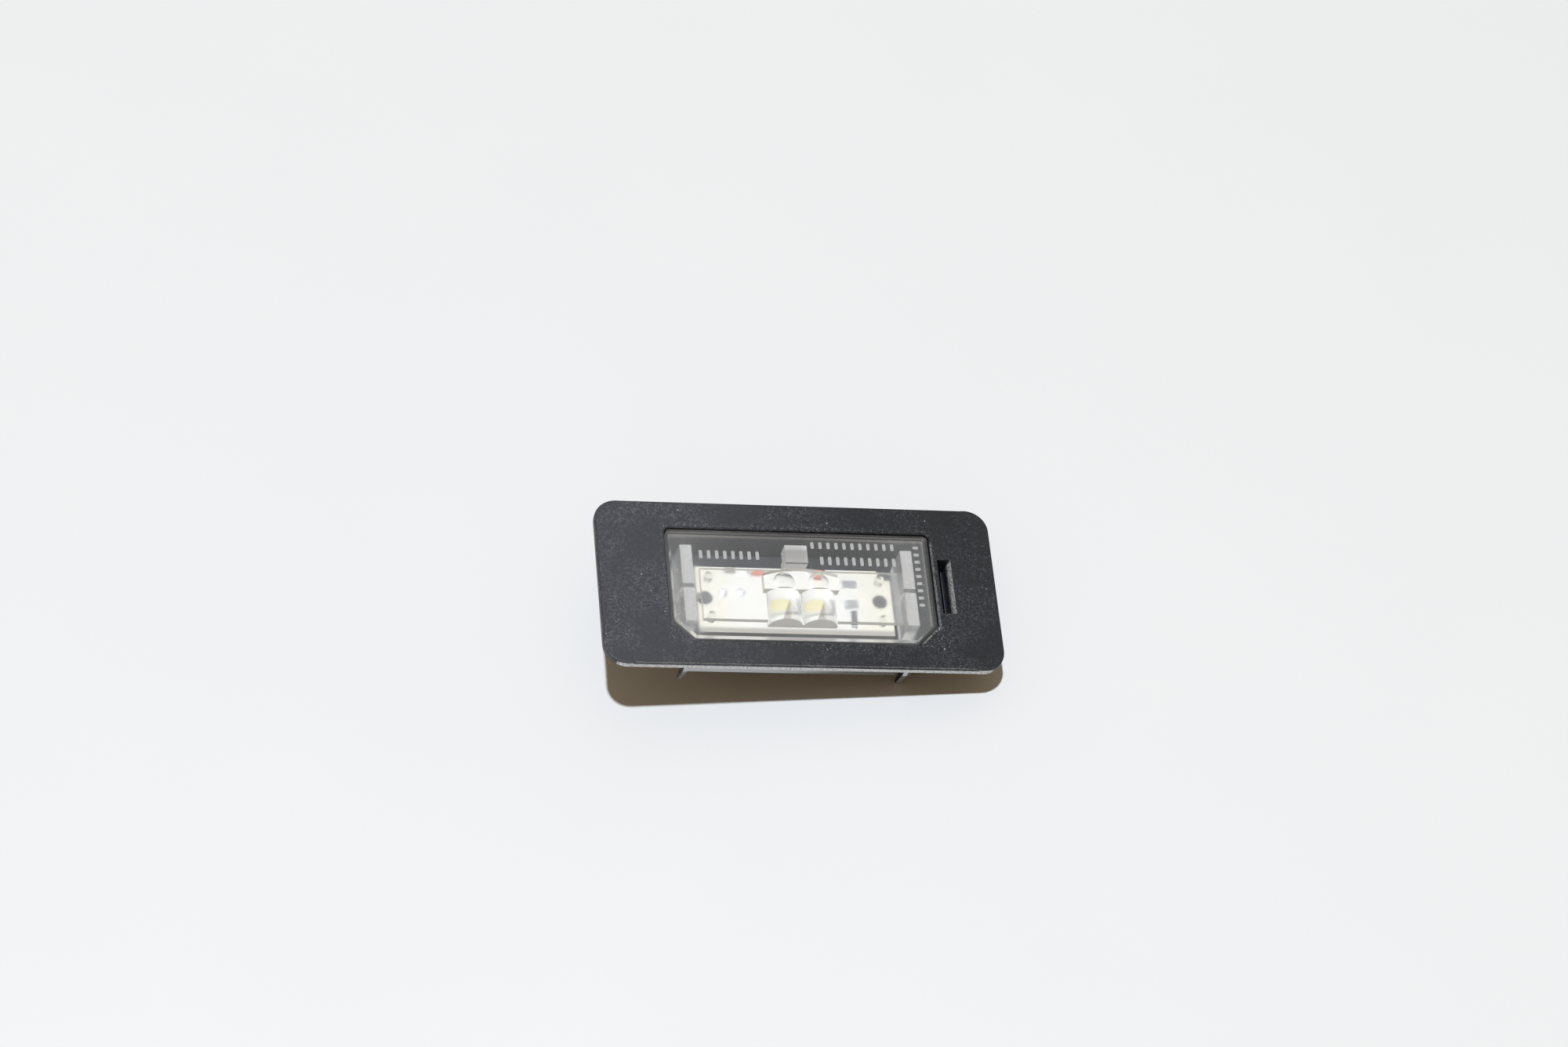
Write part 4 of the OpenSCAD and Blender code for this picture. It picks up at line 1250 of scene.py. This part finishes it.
@dataclass
class Shell:
    """Housing and cover, with the raised ticks under the cover and the ejector marks under the floor.

    Attributes:
        rows: Rows of ticks, two beside the post, one before it and a column at the end.
        tick_rise: How far a tick stands down from the plate.
        tick_seat: How far it reaches into the plate.
        tick_corner: Power of the tick's outline, below 1 for a bar with rounded corners.
        ejector_at: Centres of the ejector marks.
        ejector_r: Radius of an ejector mark.
        ejector_rise: Height of its rim.
        floor_t: Thickness of the tub's floor.
        board_lift: Height of the board above that floor.
    """

    rows: tuple[TickRow, ...] = (
        TickRow((-20.6 * MM, 7.4 * MM), (1.75 * MM, 0.0), 8, (0.75 * MM, 2.0 * MM)),
        TickRow((3.8 * MM, 10.3 * MM), (1.75 * MM, 0.0), 11, (0.75 * MM, 1.6 * MM)),
        TickRow((5.6 * MM, 6.6 * MM), (1.75 * MM, 0.0), 10, (0.75 * MM, 2.0 * MM)),
        TickRow((26.5 * MM, 10.4 * MM), (0.0, -1.75 * MM), 9, (1.2 * MM, 0.7 * MM)),
    )
    tick_rise: float = 0.12 * MM
    tick_seat: float = 0.02 * MM
    tick_corner: float = 0.4
    ejector_at: tuple[Place, ...] = (
        (-24.5 * MM, -8.5 * MM), (-24.5 * MM, 9.5 * MM), (0.5 * MM, -9.5 * MM), (0.5 * MM, 10.0 * MM),
        (24.5 * MM, -8.5 * MM), (24.5 * MM, 9.5 * MM))
    ejector_r: float = 2.0 * MM
    ejector_rise: float = 0.06 * MM
    floor_t: float = 1.5 * MM
    board_lift: float = 0.5 * MM

    def dress(self) -> None:
        """Dress the housing and the cover, and build their fine pieces."""
        black = MouldedBlack().material()
        dress("housing", black)
        low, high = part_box("cover_lens")
        dress("cover_lens", ClearCover(tuple(low), tuple(high)).material())
        ticks = [self.tick(row, number) for row in self.rows for number in range(row.count)]
        add_piece("cover_ticks", ticks, Body.LAMP, FrostedTick().material())
        marks = [self.ejector_mark(at) for at in self.ejector_at]
        add_piece("ejector_marks", marks, Body.LAMP, black)

    def tick(self, row: TickRow, number: int) -> np.ndarray:
        """Rings of one tick: a rounded bar whose rings draw in by 1 - cos t while they sink by sin t.

        The outline is a superellipse, (cos a, sin a) with each coordinate raised to the power of the corner.

        Args:
            row: Row of the tick.
            number: Its number in the row.

        Returns:
            The rings, from the plate down.
        """
        angle = np.linspace(0, 2 * math.pi, 28, endpoint=False)
        circle = np.stack([np.cos(angle), np.sin(angle)], -1)
        outline = np.sign(circle) * np.abs(circle) ** self.tick_corner
        t = np.linspace(0, math.pi / 2, 6)
        half = np.array(row.size) / 2 - (1 - np.cos(t))[:, None] * self.tick_rise
        centre = np.array(row.first) + number * np.array(row.step)
        flat = centre + half[:, None, :] * outline
        depth = self.tick_seat - (self.tick_rise + self.tick_seat) * np.sin(t)
        return np.concatenate([flat, np.broadcast_to(depth[:, None, None], flat.shape[:2] + (1,))], -1)

    def ejector_mark(self, at: Place) -> np.ndarray:
        """Rings of one ejector mark: a thin disc with a low round rim, under the floor.

        Args:
            at: Its centre.

        Returns:
            The rings.
        """
        floor_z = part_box(BOARD)[0][2] - (self.board_lift + self.floor_t)
        radii = self.ejector_r * np.array([1.0, 1.0, 0.97, 0.92, 0.88, 0.86, 0.02])
        depth = self.ejector_rise * np.array([-0.5, 0.5, 0.9, 1.0, 0.8, 0.4, 0.4])
        return turned(radii, floor_z - depth, at)


@dataclass
class LightUnit:
    """Board, diodes, optic and small components, with solder fillets, tracks and vias.

    Attributes:
        package: Finish of the light-emitting diodes' packages.
        phosphor: Finish of their filling.
        glass: Finish of the glass diodes.
        caps: Finish of their metal caps.
        solder: Finish of the solder.
        brass: Finish of the terminals.
        ink: Finish of the vias.
        chips: Name, body colour and axis of each chip component.
        chip_end: Length of a chip's metal ends.
        soldered: Name and axis of each part that is soldered flat, and length of its caps.
        fillet: Reach of a solder fillet from the end of a chip.
        fillet_share: Height of a fillet as a share of the chip's height.
        fillet_seat: How far a fillet reaches into the chip.
        track_w: Width of a track.
        track_h: Height of a track under the mask.
        track_seat: How far a track reaches into the board.
        track_tip: Share of its size that a track has at its very ends.
        tracks: Corners of the tracks.
        vias: Centres of the vias.
        via_r: Radius of a via.
    """

    package: Plain = Plain("white_package", (0.90, 0.89, 0.85), (0.86, 0.85, 0.80), 0.35)
    phosphor: Plain = Plain("pale_phosphor", (0.93, 0.86, 0.46), (0.95, 0.89, 0.56), 0.3)
    glass: Plain = Plain("orange_glass", (0.80, 0.22, 0.12), (0.86, 0.32, 0.18), 0.2)
    caps: Plain = Plain("tinned_caps", (0.66, 0.66, 0.67), (0.74, 0.74, 0.74), 0.28, metal=1.0)
    solder: Plain = Plain("solder", (0.42, 0.42, 0.43), (0.52, 0.52, 0.52), 0.6, metal=1.0)
    brass: Plain = Plain("tinned_brass", (0.72, 0.66, 0.50), (0.76, 0.71, 0.60), 0.42, metal=1.0)
    ink: Plain = Plain("via_ink", (0.16, 0.15, 0.14), (0.24, 0.23, 0.21), 0.5)
    chips: tuple[tuple[str, Colour, Along], ...] = (
        ("resistor_upper", (0.27, 0.27, 0.29), Along.X),
        ("resistor_middle", (0.34, 0.34, 0.36), Along.X),
        ("resistor_lower", (0.06, 0.06, 0.06), Along.Y),
        ("capacitor", (0.34, 0.30, 0.24), Along.X),
    )
    chip_end: float = 0.18 * MM
    soldered: tuple[tuple[str, Along, float], ...] = (
        ("resistor_upper", Along.X, 0.0), ("resistor_middle", Along.X, 0.0), ("resistor_lower", Along.Y, 0.0),
        ("capacitor", Along.X, 0.0), ("diode_left", Along.X, 0.45 * MM), ("diode_right", Along.X, 0.45 * MM),
        ("led_left", Along.X, 0.0), ("led_right", Along.X, 0.0))
    fillet: float = 0.32 * MM
    fillet_share: float = 0.75
    fillet_seat: float = 0.03 * MM
    track_w: float = 0.55 * MM
    track_h: float = 0.035 * MM
    track_seat: float = 0.005 * MM
    track_tip: float = 0.3
    tracks: tuple[tuple[Place, ...], ...] = (
        ((-11.2 * MM, 1.7 * MM), (-11.2 * MM, -1.8 * MM), (-4.3 * MM, -1.8 * MM)),
        ((-1.1 * MM, -1.8 * MM), (3.3 * MM, -1.8 * MM)),
        ((6.4 * MM, -1.8 * MM), (9.0 * MM, -1.8 * MM), (9.0 * MM, -0.65 * MM), (11.2 * MM, -0.65 * MM)),
        ((14.1 * MM, -0.65 * MM), (16.2 * MM, -0.65 * MM), (16.2 * MM, 4.25 * MM), (14.2 * MM, 4.25 * MM)),
        ((10.9 * MM, 4.25 * MM), (7.9 * MM, 4.25 * MM), (7.9 * MM, 6.9 * MM), (7.3 * MM, 6.9 * MM)),
        ((-15.0 * MM, 1.7 * MM), (-15.0 * MM, 5.0 * MM), (-14.3 * MM, 6.4 * MM)),
        ((-11.9 * MM, 6.9 * MM), (-10.4 * MM, 6.5 * MM), (-9.3 * MM, 6.5 * MM)),
        ((12.9 * MM, -5.9 * MM), (12.9 * MM, -6.9 * MM), (-16.0 * MM, -6.9 * MM), (-16.0 * MM, -1.0 * MM)),
    )
    vias: tuple[Place, ...] = ((15.7 * MM, 4.4 * MM), (-14.4 * MM, 4.3 * MM), (-16.0 * MM, -1.0 * MM))
    via_r: float = 0.22 * MM

    def dress(self) -> None:
        """Dress the board and everything on it, and build the fine pieces."""
        mask = BoardMask().material()
        solder = self.solder.material()
        dress(BOARD, mask)
        dress("optic_lens", ClearOptic().material())
        dress("diode_end_caps", self.caps.material())
        pairs = {"led": self.package.material(), "phosphor": self.phosphor.material(),
                 "diode": self.glass.material(), "solder": solder, "terminal": self.brass.material()}
        for kind, material in pairs.items():
            for side in ("left", "right"):
                dress(f"{kind}_{side}", material)
        for node, body, along in self.chips:
            self.dress_chip(node, body, along)
        add_piece("solder_fillets", self.fillets(), Body.LAMP, solder)
        tracks = [self.track(corners) for corners in self.tracks]
        add_piece("board_tracks", tracks, Body.LAMP, mask)
        vias = [self.via(at) for at in self.vias]
        add_piece("board_vias", vias, Body.LAMP, self.ink.material())

    def dress_chip(self, node: str, body: Colour, along: Along) -> None:
        """Dress a chip component with a finish that knows where its metal ends begin.

        Args:
            node: Name of the component.
            body: Colour of its body.
            along: Axis that it lies along.
        """
        low, high = (corner[along.value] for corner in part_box(node))
        reach = (high - low) / 2 - self.chip_end
        dress(node, ChipFinish(f"{node}_finish", body, (low + high) / 2, reach, along).material())

    def fillets(self) -> list[np.ndarray]:
        """Rings of the solder fillets at both ends of every component that is soldered flat.

        Returns:
            One stack of rings for each fillet.
        """
        skins = []
        for node, along, cap in self.soldered:
            low, high = (np.array(corner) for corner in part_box(node))
            skins += [self.fillet_rings(low, high, along, way, cap) for way in (-1, 1)]
        return skins

    def fillet_rings(self, low: np.ndarray, high: np.ndarray, along: Along, way: int,
                     cap: float) -> np.ndarray:
        """Rings of one fillet, whose hollow face runs as x = L (1 - sin t), z = H (1 - cos t).

        Its length and height fall off to both sides as (1 - s^6)^(1/2), where s runs from -1 to 1 across it.

        Args:
            low: Lowest corner of the component.
            high: Highest corner of the component.
            along: Axis that the component lies along.
            way: -1 for the end at the low corner, 1 for the other.
            cap: What a metal cap adds to the component's length.

        Returns:
            The rings.
        """
        index = along.value
        other = 1 - index
        t = np.linspace(0, math.pi / 2, 9)
        height = self.fillet_share * (high[2] - low[2])
        hollow = np.stack([self.fillet * (1 - np.sin(t)), height * (1 - np.cos(t))], -1)
        profile = np.concatenate([hollow, [[-self.fillet_seat, height], [-self.fillet_seat, 0.0]]])
        s = np.linspace(-0.98, 0.98, 15)
        swell = np.sqrt(1 - s ** 6)
        edge = (high[index] if way > 0 else low[index]) + way * cap
        rings = np.zeros((len(s), len(profile), 3))
        rings[:, :, index] = edge + way * swell[:, None] * profile[:, 0]
        rings[:, :, other] = ((low[other] + high[other]) / 2 + s * (high[other] - low[other]) / 2)[:, None]
        rings[:, :, 2] = low[2] + swell[:, None] * profile[:, 1]
        return rings

    def track(self, corners: tuple[Place, ...]) -> np.ndarray:
        """Rings of one track: half an ellipse carried along the softened path, narrow at its very ends.

        Args:
            corners: Corners of the path.

        Returns:
            The rings.
        """
        top_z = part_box(BOARD)[1][2]
        flat = softened(np.array(corners))
        path = np.concatenate([flat, np.full((len(flat), 1), top_z)], -1)
        t = np.linspace(0, math.pi, 9)
        profile = np.stack([self.track_w / 2 * np.cos(t), self.track_h * np.sin(t) - self.track_seat], -1)
        swell = np.ones(len(path))
        swell[[0, -1]] = self.track_tip
        return carried(profile, path, swell)

    def via(self, at: Place) -> np.ndarray:
        """Rings of one via: a low round ring of ink with a dimple in it.

        Args:
            at: Its centre.

        Returns:
            The rings.
        """
        top_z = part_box(BOARD)[1][2]
        radii = self.via_r * np.array([1.0, 1.0, 0.9, 0.7, 0.5, 0.4, 0.05])
        rise = self.track_h * np.array([-0.3, 0.4, 0.9, 1.0, 0.7, 0.3, 0.2])
        return turned(radii, top_z + rise, at, 24)


@dataclass
class Catch:
    """Spring catch in its chamber.

    Attributes:
        finish: Finish of the strip.
    """

    finish: SpringSteel = SpringSteel()

    def dress(self) -> None:
        """Dress the catch."""
        dress("spring_catch", self.finish.material())


def main() -> None:
    """Build and dress the lamp."""
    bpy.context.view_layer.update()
    bpy.context.scene.view_settings.view_transform = "Standard"
    Studio().build()
    for part in (Shell(), LightUnit(), Catch()):
        part.dress()
        LOG.info("finished the %s", type(part).__name__)


if __name__ == "__main__":
    logging.basicConfig(level=logging.INFO, format="%(message)s")
    main()
